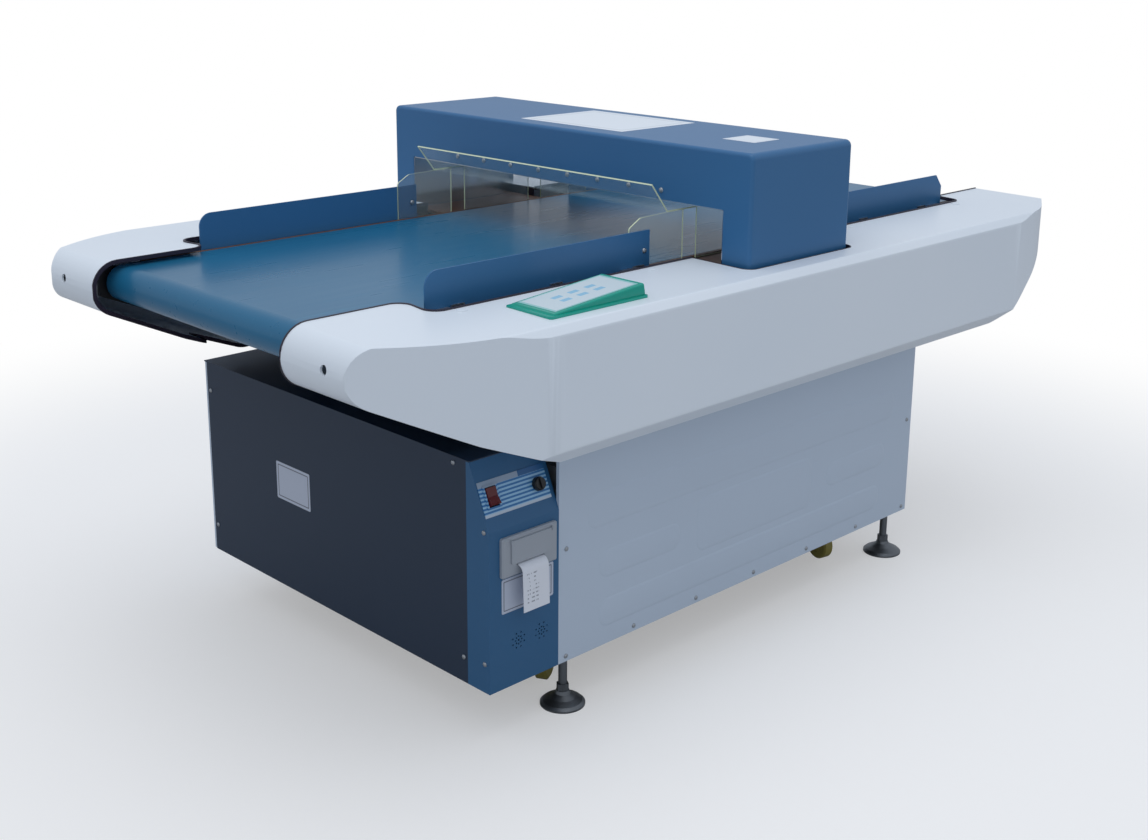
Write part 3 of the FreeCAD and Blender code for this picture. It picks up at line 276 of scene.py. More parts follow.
# %% Moulded white
def moulded_white():
    white = Finish("moulded_white", Specular_IOR_Level=0.5)
    slow = white.noise(1.7, 2.0)
    white.set("Base Color", white.blend(slow, srgb(226, 236, 246), srgb(236, 243, 250)))
    fine = white.noise(420.0, 2.0)
    white.set("Roughness", 0.3 + fine * 0.08)
    waves = white.noise(5.0, 1.0)
    return white.bump(waves + fine * 0.02, 0.0006, 0.25).material


cover_white = moulded_white()


# %% [markdown]
# ## Belt
#
# A food-grade belt has a glossy skin over a woven core.  The weave shows through as a faint print.  The
# second noise is stretched along X into long streaks in the direction of travel; where they lighten the
# colour they are painted highlight streaks, and they also vary the roughness and the relief.

# %% Belt skin
THREADS = 3600.0
THREAD_HEIGHT = 0.00001


def belt_skin():
    belt = Finish("belt_skin", Specular_IOR_Level=0.3, Coat_Roughness=0.12, Coat_IOR=1.5)
    slow = belt.noise(3.0, 2.0)
    sheen_streaks = belt.noise(60.0, 3.0, belt.mapped((18, 1, 1)))
    tint = belt.blend(slow, srgb(24, 98, 136), srgb(32, 112, 152))
    # The pale streaks blended into the colour are painted highlight streaks.
    belt.set("Base Color", belt.blend(sheen_streaks.ramp(0.62, 0.85) * 0.35, tint, srgb(70, 145, 180)))
    belt.set("Roughness", 0.24 + sheen_streaks * 0.1)
    belt.set("Coat Weight", 0.12)
    along, across, _ = belt.axes(belt.place())
    weave = (along * THREADS).sine() * (across * THREADS).sine()
    return belt.bump(weave + sheen_streaks * 2.0, THREAD_HEIGHT, 0.4).material


belt_blue = belt_skin()


# %% [markdown]
# ## Metals, board and rubber
#
# Zinc and stainless differ in how even they are: zinc is blotchy and grainy, brushed stainless has hair-fine
# lines one way.  The slider board under the belt is a brown laminate that shows its paper layers at the edge.

# %% Metals
def zinc(name, colour=srgb(176, 180, 184), roughness=0.32):
    metal = Finish(name, Metallic=1.0)
    blotch = metal.noise(70.0, 3.0)
    metal.set("Base Color", metal.blend(blotch, shade(colour, 0.82), shade(colour, 1.08)))
    metal.set("Roughness", roughness + blotch * 0.16)
    return metal.bump(metal.noise(900.0, 1.0), 0.00002, 0.4).material


def brushed(name, colour, stretch, roughness):
    metal = Finish(name, Metallic=1.0)
    lines = metal.noise(900.0, 2.0, metal.mapped(stretch))
    metal.set("Base Color", metal.blend(lines, shade(colour, 0.9), shade(colour, 1.06)))
    metal.set("Roughness", roughness + lines * 0.14)
    return metal.bump(lines, 0.00001, 0.5).material


plated = zinc("zinc_plate")
dull_steel = zinc("dull_steel", srgb(120, 124, 128), 0.36)
drum_steel = brushed("turned_steel", srgb(190, 193, 197), (1, 0.02, 1), 0.22)
liner_steel = brushed("bright_stainless", srgb(215, 218, 222), (1, 1, 0.02), 0.09)
casting = zinc("grey_casting", srgb(88, 90, 94), 0.5)
aluminium = brushed("machined_aluminium", srgb(200, 202, 205), (0.03, 1, 1), 0.3)


# %% Board, rubber and plastics
def laminate_board():
    board = Finish("laminate_board", Specular_IOR_Level=0.4)
    grain = board.noise(45.0, 4.0, board.mapped((9, 1, 1)))
    board.set("Base Color", board.blend(grain, srgb(74, 46, 32), srgb(124, 82, 56)))
    board.set("Roughness", 0.38 + grain * 0.2)
    return board.bump(grain, 0.00004, 0.5).material


def plastic(name, colour, roughness, grain=600.0):
    """Moulded plastic or rubber; grain is how fine the mould's texture is."""
    skin = Finish(name, Specular_IOR_Level=0.5)
    slow = skin.noise(9.0, 2.0)
    skin.set("Base Color", skin.blend(slow, shade(colour, 0.96), shade(colour, 1.04)))
    fine = skin.noise(grain, 1.0)
    skin.set("Roughness", roughness - 0.04 + fine * 0.08)
    return skin.bump(fine, PEBBLE_HEIGHT, 0.5).material


board_brown = laminate_board()
trim_black = plastic("trim_rubber", srgb(38, 30, 48), 0.45)
rubber_black = plastic("drive_rubber", srgb(22, 22, 22), 0.7)
black_plastic = plastic("black_plastic", srgb(20, 20, 22), 0.35)
switch_red = plastic("switch_red", srgb(96, 20, 22), 0.25)
printer_grey = plastic("printer_grey", srgb(166, 173, 182), 0.45, 1400.0)
console_green = plastic("console_green", srgb(0, 160, 140), 0.22)
castor_olive = plastic("castor_nylon", srgb(140, 130, 62), 0.4)


# %% [markdown]
# ## Clear sheet
#
# Acrylic is nearly invisible face on and bright pale green along its cut edges, because light that enters
# the faces leaves there.  One material does both: the surface's own direction chooses between the clear
# body and the edge.

# %% Clear sheet
FLARE = Vector((0.779, 0.627))


def acrylic(name, edge_test):
    """Clear body and pale green cut edges; edge_test gives 1 on an edge from place and direction."""
    clear = Finish(name, Roughness=0.06, IOR=1.49)
    direction = clear.axes(clear.node("ShaderNodeNewGeometry", output=1))
    edge = edge_test(clear.axes(clear.place())[0], *direction)
    clear.set("Base Color", clear.blend(edge, srgb(200, 214, 214), srgb(214, 226, 190)))
    clear.set("Alpha", 0.14 + edge * 0.8)
    return clear.material


def guard_edge(place, x, y, z):
    """The guards stand along the belt, so all that doesn't face across it is an edge."""
    return y.size().below(0.5)


def visor_edge(place, x, y, z):
    """Side ends, and the rim of each flared sheet, whose slope changes sign at the tunnel's middle."""
    low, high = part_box("visors")
    sign = 1 - 2 * place.above((low.x + high.x) / 2)
    rim = (x * sign * FLARE.x + z * FLARE.y).size().below(0.4) * z.size().below(0.95)
    return y.size().above(0.5).larger(rim)


guard_clear = acrylic("guard_acrylic", guard_edge)
visor_clear = acrylic("visor_acrylic", visor_edge)


# %% [markdown]
# ## Printed faces
#
# The switch plate, the keypad and the paper carry print.  Print is flat colour with hard borders, so it is
# drawn with comparisons on the coordinates: stripes, blocks and fields, with no lettering.

# %% Switch plate print
def switch_print():
    low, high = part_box("switch_plate")
    face = Finish("switch_plate_print", Roughness=0.35, Specular_IOR_Level=0.5)
    x, y, z = face.axes(face.place())
    rise = (z - low.z) / (high.z - low.z)
    run = (x - low.x) / (high.x - low.x)
    stripes = (rise * 9.0).fraction()
    bands = face.blend(stripes.between(0.5, 1.0), srgb(48, 116, 178), srgb(150, 196, 226))
    lower = face.blend(rise.below(0.09), bands, srgb(190, 205, 220))
    top = face.blend(run.below(0.6), srgb(42, 98, 150), srgb(150, 168, 188))
    face.set("Base Color", face.blend(rise.above(0.84), lower, top))
    return face.material


plate_print = switch_print()


# %% Keypad print
def keypad_print():
    low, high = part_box("console_overlay")
    face = Finish("keypad_print", Roughness=0.3, Specular_IOR_Level=0.5)
    x, y, z = face.axes(face.place())
    run = (x - low.x) / (high.x - low.x)
    rise = (y - low.y) / (high.y - low.y)
    base = face.blend(run.between(0.03, 0.97) * rise.between(0.04, 0.96), srgb(150, 205, 205),
                      srgb(206, 222, 230))
    keys = (run * 5.0).fraction().between(0.2, 0.75)
    keys = keys * (rise * 4.0).fraction().between(0.25, 0.75)
    keys = keys * run.between(0.2, 0.8) * rise.between(0.25, 0.75)
    face.set("Base Color", face.blend(keys, base, srgb(140, 196, 226)))
    return face.material


keypad_face = keypad_print()


# %% Printed paper
def printed_paper():
    low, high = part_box("paper_strip")
    sheet = Finish("printed_paper", Roughness=0.8, Specular_IOR_Level=0.2)
    x, y, z = sheet.axes(sheet.place())
    run = (x - low.x) / (high.x - low.x)
    rows = z * 140.0
    dashes = sheet.noise(260.0, 1.0, sheet.mapped((1, 1, 8)))
    marks = rows.fraction().below(0.35) * dashes.above(0.5) * run.between(0.15, 0.6)
    marks = marks * z.between(low.z + 0.012, high.z - 0.014)
    fibre = sheet.noise(1500.0, 1.0)
    sheet.set("Base Color", sheet.blend(marks * 0.6, srgb(232, 236, 244), srgb(90, 96, 112)))
    return sheet.bump(fibre, 0.00002, 0.3).material


paper_white = printed_paper()


# %% [markdown]
# ## Dressing the solids
#
# A solid whose shape is right only needs its finish.  The table below names one for each.

# %% Dressing
FINISHES = {
    blue_paint: ["head_shell", "guide_rail_infeed_near", "guide_rail_infeed_far", "guide_rail_outfeed_near",
                 "guide_rail_outfeed_far"],
    column_paint: ["control_column"],
    # The navy here is painted shade: the blue paint darkened as it looks under the conveyor.
    shaded_blue_paint: ["end_panels", "cabinet_sheets"],
    panel_paint: ["side_panel_near", "side_panel_far"],
    frame_paint: ["welded_frame", "electronics_boxes"],
    black_paint: ["side_frames", "conveyor_stand"],
    motor_paint: ["gear_motor"],
    cover_white: ["side_cover_near", "side_cover_far", "cover_fixings"],
    belt_blue: ["belt"],
    plated: ["mounting_brackets", "tension_screw_near", "tension_screw_far"],
    dull_steel: ["foot_lock_nuts"],
    drum_steel: ["tail_drum", "drive_drum", "return_roller_left", "return_roller_right"],
    liner_steel: ["tunnel_liner"],
    casting: ["shaft_bearings"],
    aluminium: ["motor_pulley", "upper_sensor", "lower_sensor"],
    board_brown: ["slider_bed"],
    trim_black: ["edge_trims"],
    rubber_black: ["drive_belt"],
    black_plastic: ["speakers", "cable_gland", "volume_knob"],
    switch_red: ["power_rocker"],
    plate_print: ["switch_plate"],
    console_green: ["console_housing"],
    keypad_face: ["console_overlay"],
    printer_grey: ["printer_case", "printer_door"],
    paper_white: ["paper_roll", "paper_strip"],
    guard_clear: ["tunnel_guards"],
    visor_clear: ["visors"],
    castor_olive: [],
}
for side in ("near_left", "near_right", "far_left", "far_right"):
    FINISHES[dull_steel].append(f"levelling_foot_{side}")
    FINISHES[plated].append(f"castor_fork_{side}")
    FINISHES[castor_olive].append(f"castor_wheel_{side}")


def dress(node, material):
    """Give a solid or a new piece its one material."""
    node.data.materials.clear()
    node.data.materials.append(material)


for material, names in FINISHES.items():
    for name in names:
        dress(nodes[name], material)
dressed = {name for names in FINISHES.values() for name in names}
print("nodes without a finish:", sorted(set(nodes) - dressed))


# %% [markdown]
# ## Moulded side covers
#
# The covers are the machine's most telling shape: a nose that is round like the drum behind it, a bowed
# flank, and a raked end at the outfeed.  The solids hold their place and size with plain ends, so each cover
# is modelled again here.  Three outlines, seen from the side, from above and from the end, are extruded and
# their common volume kept, which is how a pattern maker cuts such a form from a block.

# %% Outline helpers
def softened(points, steps=8):
    """Outline whose corners (a, b, radius) are replaced by arcs."""
    outline = []
    count = len(points)
    for k, point in enumerate(points):
        corner = Vector(point[:2])
        if len(point) < 3:
            outline.append(corner)
            continue
        back = (Vector(points[k - 1][:2]) - corner).normalized()
        ahead = (Vector(points[(k + 1) % count][:2]) - corner).normalized()
        half = back.angle(ahead) / 2
        centre = corner + (back + ahead).normalized() * (point[2] / math.sin(half))
        first = corner + back * (point[2] / math.tan(half)) - centre
        last = corner + ahead * (point[2] / math.tan(half)) - centre
        sweep = first.angle_signed(last)
        for step in range(steps + 1):
            angle = -sweep * step / steps
            outline.append(centre + Matrix.Rotation(angle, 2) @ first)
    return outline


def extruded(name, axis, low, high, points):
    """Solid made of an outline in millimetres, extruded along one axis."""
    mesh = bmesh.new()
    outline = softened(points)
    rows = []
    for station in (low, high):
        row = []
        for a, b in outline:
            place = {"x": (station, a, b), "y": (a, station, b), "z": (a, b, station)}[axis]
            row.append(mesh.verts.new(Vector(place) * MM))
        rows.append(row)
    count = len(outline)
    for k in range(count):
        after = (k + 1) % count
        mesh.faces.new((rows[0][k], rows[0][after], rows[1][after], rows[1][k]))
    mesh.faces.new(rows[0])
    mesh.faces.new(rows[1])
    bmesh.ops.recalc_face_normals(mesh, faces=mesh.faces)
    data = bpy.data.meshes.new(name)
    mesh.to_mesh(data)
    mesh.free()
    return new_object(name, data)


def settle(thing):
    """Turn an object's modifiers into a plain mesh."""
    graph = bpy.context.evaluated_depsgraph_get()
    mesh = bpy.data.meshes.new_from_object(thing.evaluated_get(graph))
    thing.modifiers.clear()
    thing.data = mesh


def carved(base, operation, *tools):
    """Keep the common volume of a base and its tools, or take the tools away; the tools are used up."""
    for tool in tools:
        modifier = base.modifiers.new("carve", "BOOLEAN")
        modifier.operation = operation
        modifier.solver = "EXACT"
        modifier.object = tool
        settle(base)
        bpy.data.objects.remove(tool)
    return base


# %% Cover outlines
# In millimetres, as corners (a, b) or rounded corners (a, b, radius).
cover_low, cover_high = (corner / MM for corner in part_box("side_cover_near"))
NOSE, BOW = -950.0, cover_high.x
FLANK, BOTTOM, TOP = cover_low.y, cover_low.z, cover_high.z
INNER, NOTCH = cover_high.y, -384.0


def side_outline(t):
    """Side view, all faces moved inwards by t."""
    low, high = BOTTOM + t, TOP - t
    return [(NOSE + t, high, 50 - t), (NOSE + t, 685 + 0.62 * t, 50 - t), (-774 + 0.2 * t, 601 + t, 150),
            (-602 + 0.2 * t, low, 60), (676 - 0.3 * t, low, 50), (BOW + 1 - t, 712.6 + 0.56 * t, 14),
            (BOW + 1 - t, high)]


def top_outline(t, s):
    """View from above: outer side moved inwards by t, belt side by s."""
    outer = FLANK + t
    return [(NOSE + t, -457 + t, 12), (-820, outer + 31, 400), (-660, outer, 400), (730, outer, 300),
            (850, outer + 22, 300), (BOW - t, -488 + t), (BOW - t, INNER - 24 + s),
            (797 - s, INNER - 24 + s, 20), (785 - s, NOTCH + s, 20), (-730 + s, NOTCH + s, 26),
            (-718 + s, INNER + s, 26), (NOSE + t, INNER + s)]


def end_outline(t):
    """View along the belt: crowned top, bevelled long edges."""
    outer, low = FLANK + t, BOTTOM + t
    return [(-200, low), (outer + 29, low, 8), (outer, low + 29, 8), (outer, TOP - 18 - t, 7),
            (outer + 14, TOP - 4 - t, 7), (INNER, TOP - t), (-200, TOP - t)]


def cover_solid(name, t, s):
    """Common volume of the three views; t and s move its faces inwards."""
    return carved(extruded(name, "z", 500, 800, top_outline(t, s)), "INTERSECT",
                  extruded("side_view", "y", FLANK - 5, -200, side_outline(t)),
                  extruded("end_view", "x", -1000, 1000, end_outline(t)))


# %% Covers
def far_copy(name, near):
    """Mirror image across the middle of the belt."""
    data = near.data.copy()
    data.transform(Matrix.Scale(-1, 4, (0, 1, 0)))
    data.flip_normals()
    return new_object(name, data)


def finish_cover(thing, node, material):
    """Material, softened edges and body; node is the solid that the piece stands for, or None."""
    dress(thing, material)
    soft = thing.modifiers.new("soft_edges", "BEVEL")
    soft.width = 1.2 * MM
    soft.segments = 2
    soft.limit_method = "ANGLE"
    soft.angle_limit = math.radians(32)
    thing.data.shade_smooth()
    even = thing.modifiers.new("even_shading", "WEIGHTED_NORMAL")
    even.keep_sharp = True
    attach(thing, BODY)
    if node:
        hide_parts(node)


GAP, SLOT_CORNER = 12.0, 22.0
head_foot_low, head_foot_high = (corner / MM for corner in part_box("head_shell"))
SLOT_LEFT, SLOT_RIGHT = head_foot_low.x - GAP, head_foot_high.x + GAP
SLOT_SIDE = head_foot_low.y - GAP


def slot_outline(rim, mouth):
    """Opening round the head's foot, made smaller by rim and open towards the belt at mouth."""
    left, right, side = SLOT_LEFT + rim, SLOT_RIGHT - rim, SLOT_SIDE + rim
    radius = SLOT_CORNER - rim
    return [(left, mouth), (left, side, radius), (right, side, radius), (right, mouth)]


WALL, BELT_WALL = 4, 40
near_cover = cover_solid("cover_near", 0, 0)
hollow = cover_solid("cover_hollow", WALL, BELT_WALL)
opening = extruded("head_opening", "z", 700, 800, slot_outline(0, -300))
ADJUSTER, ADJUSTER_RADIUS = (-405.5, 724.0), 8.0
hole_ring = [(ADJUSTER[0] + ADJUSTER_RADIUS * math.cos(math.radians(15 * k)),
              ADJUSTER[1] + ADJUSTER_RADIUS * math.sin(math.radians(15 * k))) for k in range(24)]
hole = extruded("adjuster_hole", "x", -990, -930, hole_ring)
carved(near_cover, "DIFFERENCE", hollow, opening, hole)
far_cover = far_copy("cover_far", near_cover)
finish_cover(near_cover, "side_cover_near", cover_white)
finish_cover(far_cover, "side_cover_far", cover_white)
print("cover faces:", len(near_cover.data.polygons))

# %% [markdown]
# ## Edge trim
#
# A rubber edging runs along the covers' belt side and round the opening for the head.  It follows the same
# outlines: three millimetres thick beside the belt and a millimetre and a half proud of the cover.

# %% Trims
RIM = 2.5
band = carved(extruded("trim_near", "z", 510, 790, top_outline(0, 3)), "DIFFERENCE",
              extruded("trim_base", "z", 500, 800, top_outline(0, 0)))
carved(band, "INTERSECT", extruded("trim_reach", "y", -560, -200, side_outline(-1.5)))
carved(band, "DIFFERENCE", extruded("trim_core", "y", -570, -190, side_outline(6)))
carved(band, "DIFFERENCE", extruded("trim_mouth", "z", 690, 810, slot_outline(0, -300)))
beside_belt = [(-200, NOTCH), (300, NOTCH), (300, -200), (-200, -200)]
ring = carved(extruded("trim_slot_near", "z", 740, 790, slot_outline(0, -300)), "DIFFERENCE",
              extruded("ring_inside", "z", 700, 800, slot_outline(RIM, -380)),
              extruded("ring_mouth", "z", 700, 800, beside_belt))
carved(ring, "INTERSECT", extruded("ring_above", "x", -300, 300, end_outline(-1)))
for near, node in ((band, "edge_trims"), (ring, None)):
    far = far_copy(near.name.replace("near", "far"), near)
    finish_cover(near, node, trim_black)
    finish_cover(far, None, trim_black)

# %% [markdown]
# ## Screws
#
# The sheets are held by pan-head screws.  They repeat, so Geometry Nodes make them: points carry the
# direction that each screw faces, one head is built from a flattened ball with a cross cut into it, and it
# is set on every point.  The result is turned into a plain mesh for the body that it belongs to.

# %% Screw tree
def screw_tree(material):
    tree = bpy.data.node_groups.new("pan_head_screws", "GeometryNodeTree")
    tree.interface.new_socket("Places", in_out="INPUT", socket_type="NodeSocketGeometry")
    tree.interface.new_socket("Radius", in_out="INPUT", socket_type="NodeSocketFloat")
    tree.interface.new_socket("Screws", in_out="OUTPUT", socket_type="NodeSocketGeometry")
    new, link = tree.nodes.new, tree.links.new
    entry, leave = new("NodeGroupInput"), new("NodeGroupOutput")
    ball = new("GeometryNodeMeshUVSphere")
    ball.inputs["Segments"].default_value = 20
    ball.inputs["Rings"].default_value = 12
    ball.inputs["Radius"].default_value = 1.0
    flat = new("GeometryNodeTransform")
    flat.inputs["Scale"].default_value = (1.0, 1.0, 0.62)
    link(ball.outputs["Mesh"], flat.inputs["Geometry"])
    bars = new("GeometryNodeJoinGeometry")
    for size in ((1.1, 0.16, 0.7), (0.16, 1.1, 0.7)):
        bar, lifted = new("GeometryNodeMeshCube"), new("GeometryNodeTransform")
        bar.inputs["Size"].default_value = size
        lifted.inputs["Translation"].default_value = (0.0, 0.0, 0.68)
        link(bar.outputs["Mesh"], lifted.inputs["Geometry"])
        link(lifted.outputs["Geometry"], bars.inputs["Geometry"])
    slotted = new("GeometryNodeMeshBoolean")
    slotted.operation = "DIFFERENCE"
    link(flat.outputs["Geometry"], slotted.inputs["Mesh 1"])
    link(bars.outputs["Geometry"], slotted.inputs["Mesh 2"])
    facing = new("FunctionNodeAlignRotationToVector")
    facing.axis = "Z"
    direction = new("GeometryNodeInputNamedAttribute")
    direction.data_type = "FLOAT_VECTOR"
    direction.inputs["Name"].default_value = "outward"
    link(direction.outputs["Attribute"], facing.inputs["Vector"])
    spread = new("GeometryNodeInstanceOnPoints")
    link(entry.outputs["Places"], spread.inputs["Points"])
    link(slotted.outputs["Mesh"], spread.inputs["Instance"])
    link(facing.outputs["Rotation"], spread.inputs["Rotation"])
    link(entry.outputs["Radius"], spread.inputs["Scale"])
    real, painted = new("GeometryNodeRealizeInstances"), new("GeometryNodeSetMaterial")
    painted.inputs["Material"].default_value = material
    link(spread.outputs["Instances"], real.inputs["Geometry"])
    link(real.outputs["Geometry"], painted.inputs["Geometry"])
    link(painted.outputs["Geometry"], leave.inputs["Screws"])
    return tree


screws = screw_tree(plated)


# %% Setting screws
def set_screws(name, places, radius):
    """Pan-head screws at (point, outward direction) pairs, in metres."""
    mesh = bpy.data.meshes.new(name)
    mesh.from_pydata([point for point, _ in places], [], [])
    outward = mesh.attributes.new("outward", "FLOAT_VECTOR", "POINT")
    outward.data.foreach_set("vector", [value for _, direction in places for value in direction])
    thing = new_object(name, mesh)
    modifier = thing.modifiers.new("screws", "NODES")
    modifier.node_group = screws
    sockets = {item.name: item.identifier for item in screws.interface.items_tree
               if item.in_out == "INPUT"}
    modifier[sockets["Radius"]] = radius
    settle(thing)
    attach(thing, BODY)
    thing.data.shade_smooth()
    print(name, len(places), "screws")


# %% Panel screws
near_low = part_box("side_panel_near")[0]
far_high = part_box("side_panel_far")[1]
ends_low, ends_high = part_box("end_panels")
column_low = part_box("control_column")[0]
PANEL_SCREW = 0.0045
SKIRT = near_low.z + 0.0105
MIDDLE = 0.316
COLUMNS = [-0.481, -0.308, -0.135, 0.038, 0.210, 0.383, 0.555]
FAR_LEFT = -0.640
INFEED_END = ((0.412, 0.447), (0.412, 0.159), (-0.344, 0.494), (-0.366, 0.150))
near_places = [((x, near_low.y, SKIRT), (0, -1, 0)) for x in COLUMNS]
near_places += [((x, near_low.y, MIDDLE), (0, -1, 0)) for x in (COLUMNS[0], COLUMNS[-1])]
far_places = [((x, far_high.y, SKIRT), (0, 1, 0)) for x in COLUMNS]
far_places += [((x, far_high.y, MIDDLE), (0, 1, 0)) for x in (FAR_LEFT, COLUMNS[-1])]
end_places = [((ends_low.x, y, z), (-1, 0, 0)) for y, z in INFEED_END]
end_places += [((ends_high.x, y, z), (1, 0, 0)) for y in (-0.412, 0.412) for z in (0.159, 0.447)]
end_places += [((column_low.x, -0.420, z), (-1, 0, 0)) for z in (0.156, 0.392)]
set_screws("panel_screws", near_places + far_places + end_places, PANEL_SCREW)


# %% Head and rail screws
HEAD_SCREW = 0.0052
SPACING, VISOR_LINE = 0.0835, 0.879
RAIL_LINE, RAIL_END, GUARD_SHEET = 0.785, 0.014, 0.003
head_low, head_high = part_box("head_shell")
rows = [(k - 3.5) * SPACING for k in range(8)]
head_places = [((head_low.x, y, VISOR_LINE), (-1, 0, 0)) for y in rows]
head_places += [((head_high.x, y, VISOR_LINE), (1, 0, 0)) for y in rows]
rail_low, rail_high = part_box("guide_rail_infeed_near")
out_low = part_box("guide_rail_outfeed_near")[0]
guard_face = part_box("tunnel_guards")[1].y - GUARD_SHEET
for x in (rail_high.x - RAIL_END, out_low.x + RAIL_END):
    head_places.append(((x, rail_low.y, RAIL_LINE), (0, -1, 0)))
    head_places.append(((x, -rail_low.y, RAIL_LINE), (0, 1, 0)))
    head_places.append(((x, guard_face, RAIL_LINE), (0, -1, 0)))
    head_places.append(((x, -guard_face, RAIL_LINE), (0, 1, 0)))
set_screws("head_screws", head_places, HEAD_SCREW)


# %% [markdown]
# ## Stickers
#
# The real machine carries instruction stickers.  Their places hold blank ones: a thin sheet with rounded
# corners and a fine border line.  Each is laid a seventh of a millimetre off the surface under it.

# %% Sticker shapes
def sticker_face(name, colour, border):
    """Blank print with a fine border line; the "border" map runs from 0 at the rim to 1 inside."""
    face = Finish(name, Roughness=0.35, Specular_IOR_Level=0.5)
    from_rim = face.axes(face.node("ShaderNodeUVMap", {"uv_map": "border"}))[0]
    face.set("Base Color", face.blend(from_rim.between(0.55, 0.8) * 0.7, colour, border))
    return face.material


STICKER_LIFT = 0.00015
STICKER_CORNER, SHARPEST = 0.003, 0.0006
BORDER_SHARE = 0.12


def rounded_outline(width, height, radius, steps=5):
    """Points round a rectangle with rounded corners, about its middle."""
    points = []
    for quarter, (sx, sy) in enumerate(((1, 1), (-1, 1), (-1, -1), (1, -1))):
        centre = Vector((sx * (width / 2 - radius), sy * (height / 2 - radius)))
        for step in range(steps + 1):
            angle = math.radians(90 * (quarter + step / steps))
            points.append(centre + radius * Vector((math.cos(angle), math.sin(angle))))
    return points


def lay_sticker(name, middle, across, up, width, height, material):
    """Thin sheet with a printed border, laid square to across and up."""
    middle, across, up = Vector(middle), Vector(across), Vector(up)
    lifted = middle + across.cross(up) * STICKER_LIFT
    mesh = bmesh.new()
    border = mesh.loops.layers.uv.new("border")
    rings = []
    for shrink in (0.0, min(width, height) * BORDER_SHARE):
        radius = max(SHARPEST, STICKER_CORNER - shrink)
        outline = rounded_outline(width - 2 * shrink, height - 2 * shrink, radius)
        rings.append([mesh.verts.new(lifted + across * p.x + up * p.y) for p in outline])
    marks = {vert: 0.0 for vert in rings[0]} | {vert: 1.0 for vert in rings[1]}
    count = len(rings[0])
    for k in range(count):
        after = (k + 1) % count
        mesh.faces.new((rings[0][k], rings[0][after], rings[1][after], rings[1][k]))
    mesh.faces.new(rings[1])
    for face in mesh.faces:
        for loop in face.loops:
            loop[border].uv = (marks[loop.vert], 0)
    data = bpy.data.meshes.new(name)
    mesh.to_mesh(data)
    mesh.free()
    thing = new_object(name, data)
    dress(thing, material)
    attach(thing, BODY)


# %% Laying the stickers
pale_sheet = sticker_face("blank_sheet", srgb(232, 240, 248), srgb(205, 214, 224))
column_sheet = sticker_face("column_sheet", srgb(196, 204, 220), srgb(40, 42, 60))
X, Y, Z = (1, 0, 0), (0, 1, 0), (0, 0, 1)
lay_sticker("head_sheet", (0.0475, 0, head_high.z), X, Y, 0.215, 0.29, pale_sheet)
lay_sticker("head_label", (0.0475, -0.377, head_high.z), X, Y, 0.075, 0.078, pale_sheet)
lay_sticker("column_label", (-0.571, column_low.y, 0.272), X, Z, 0.118, 0.062, column_sheet)
lay_sticker("end_label", (ends_low.x, 0.131, 0.321), (0, -1, 0), Z, 0.110, 0.075, column_sheet)

# %% [markdown]
# ## Pressed ribs and bed edge
#
# The white panels have shallow ribs pressed into them for stiffness.  Each is a low pillow with a rounded
# outline and a soft slope.  The bed's brown edge shows as a thin line beside the belt.

# %% Ribs
# In millimetres.  RIB_PROFILE pairs how far a ring of points is inside the outline with its height there.
RIB_PROFILE = ((0, -0.1), (2.5, 0.5), (6, 0.9))
RIB_CORNER = 24


def press_rib(name, left, right, low, high, face, side):
    """Pillow on a side panel: side is -1 on the near panel and 1 on the far one."""
    mesh = bmesh.new()
    middle_x, middle_z = (left + right) / 2, (low + high) / 2
    rings = []
    for inset, lift in RIB_PROFILE:
        outline = rounded_outline(right - left - 2 * inset, high - low - 2 * inset, RIB_CORNER - inset, 6)
        y = face / MM + side * lift
        rings.append([mesh.verts.new(Vector((middle_x + p.x, y, middle_z + p.y)) * MM) for p in outline])
    for inner, outer in zip(rings[1:], rings):
        for k in range(len(inner)):
            after = (k + 1) % len(inner)
            mesh.faces.new((outer[k], outer[after], inner[after], inner[k]))
    mesh.faces.new(rings[-1])
    if side > 0:
        bmesh.ops.reverse_faces(mesh, faces=mesh.faces)
    data = bpy.data.meshes.new(name)
    mesh.to_mesh(data)
    mesh.free()
    data.shade_smooth()
    thing = new_object(name, data)
    dress(thing, panel_paint)
    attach(thing, BODY)


RIBS = ((-430, 500, 333, 400), (-400, 462, 137, 193), (-139, 215, 206, 316), (265, 475, 232, 286),
        (-400, -185, 232, 286))
for k, rib in enumerate(RIBS):
    press_rib(f"rib_near_{k}", *rib, near_low.y, -1)
    press_rib(f"rib_far_{k}", *rib, far_high.y, 1)


# %% Bed edge
# In millimetres.
STRIP_END, STRIP_BOTTOM, STRIP_TOP, STRIP_ROUND = 836, 749.8, 753.3, 0.8
for name, a, b in (("near", -331.5, -323.5), ("far", 323.5, 331.5)):
    corners = [(a, STRIP_BOTTOM), (b, STRIP_BOTTOM),
               (b, STRIP_TOP, STRIP_ROUND), (a, STRIP_TOP, STRIP_ROUND)]
    strip = extruded(f"bed_edge_{name}", "x", -STRIP_END, STRIP_END, corners)
    dress(strip, board_brown)
    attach(strip, BODY)

# %% [markdown]
# ## Studio
#
# A white floor that keeps the shadow, an even pale surround and one broad soft lamp overhead.  What the
# camera sees of the surround, also through clear sheet, is plain white, while the light that falls on the
# machine stays at a plain level.

# %% Floor
FLOOR_HALF = 30.0
SHADOW_REACH, WHITE_REACH = 1.3, 2.6
WHITE = (1, 1, 1, 1)


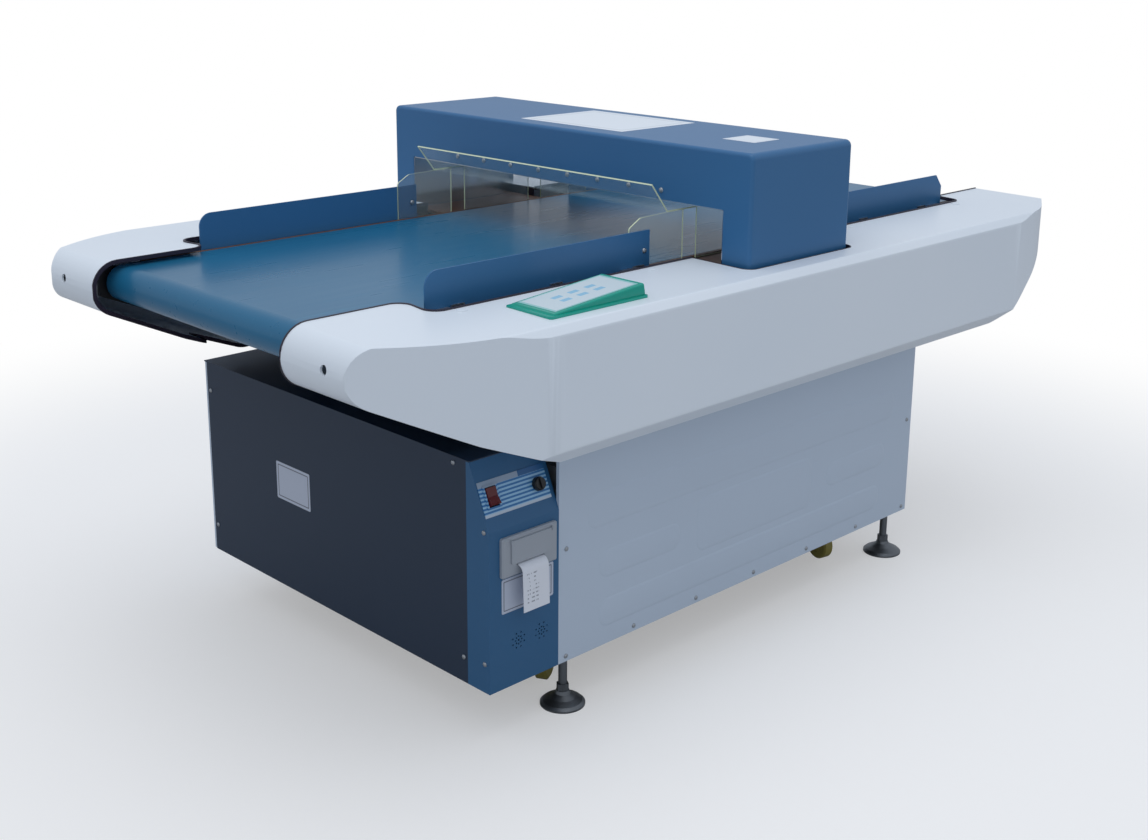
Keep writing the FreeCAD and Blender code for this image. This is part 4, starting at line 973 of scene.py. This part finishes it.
def make_floor():
    """White floor: it keeps the shadow near the machine and turns plain white further out."""
    floor = Finish("studio_floor", Roughness=0.9, Specular_IOR_Level=0.05)
    x, y, _ = floor.axes(floor.place())
    reach = (x * x + y * y).root().ramp(SHADOW_REACH, WHITE_REACH)
    seen = floor.node("ShaderNodeLightPath", output="Is Camera Ray")
    floor.set("Base Color", floor.blend(seen, (0.55, 0.55, 0.55, 1), WHITE))
    plain = floor.node("ShaderNodeEmission", {}, {"Color": WHITE, "Strength": 1.0})
    lit = Wire(floor, floor.shader.outputs[0])
    mixed = floor.node("ShaderNodeMixShader", {}, {0: seen * (0.35 + reach * 0.65), 1: lit, 2: plain})
    floor.tree.links.new(mixed.socket, floor.tree.nodes["Material Output"].inputs["Surface"])
    data = bpy.data.meshes.new("floor")
    corners = [(a * FLOOR_HALF, b * FLOOR_HALF, 0) for a, b in ((-1, -1), (1, -1), (1, 1), (-1, 1))]
    data.from_pydata(corners, [], [(0, 1, 2, 3)])
    data.materials.append(floor.material)
    new_object("floor", data)


make_floor()


# %% Surround and lamp
def surround(level, seen):
    """World that lights the machine at one level and shows itself at another."""
    world = bpy.data.worlds.new("surround")
    bpy.context.scene.world = world
    world.use_nodes = True
    tree = world.node_tree
    tree.nodes.clear()
    new, link = tree.nodes.new, tree.links.new
    path = new("ShaderNodeLightPath")
    light, view = new("ShaderNodeBackground"), new("ShaderNodeBackground")
    light.inputs["Color"].default_value = (0.90, 0.96, 1.06, 1)
    light.inputs["Strength"].default_value = level
    view.inputs["Color"].default_value = WHITE
    view.inputs["Strength"].default_value = seen
    either = new("ShaderNodeMath")
    either.operation = "MAXIMUM"
    link(path.outputs["Is Camera Ray"], either.inputs[0])
    link(path.outputs["Is Transmission Ray"], either.inputs[1])
    mixed, output = new("ShaderNodeMixShader"), new("ShaderNodeOutputWorld")
    link(either.outputs[0], mixed.inputs[0])
    link(light.outputs[0], mixed.inputs[1])
    link(view.outputs[0], mixed.inputs[2])
    link(mixed.outputs[0], output.inputs["Surface"])


def soft_lamp(name, place, aim, size, power):
    """Square area lamp that looks at a point; power is in watts."""
    data = bpy.data.lights.new(name, "AREA")
    data.shape = "SQUARE"
    data.size = size
    data.energy = power
    lamp = new_object(name, data)
    lamp.location = place
    lamp.rotation_euler = (Vector(aim) - Vector(place)).to_track_quat("-Z", "Y").to_euler()


surround(0.62, 1.0)
soft_lamp("overhead", (-0.6, -0.4, 3.6), (0, 0, 0.5), 3.0, 30.0)
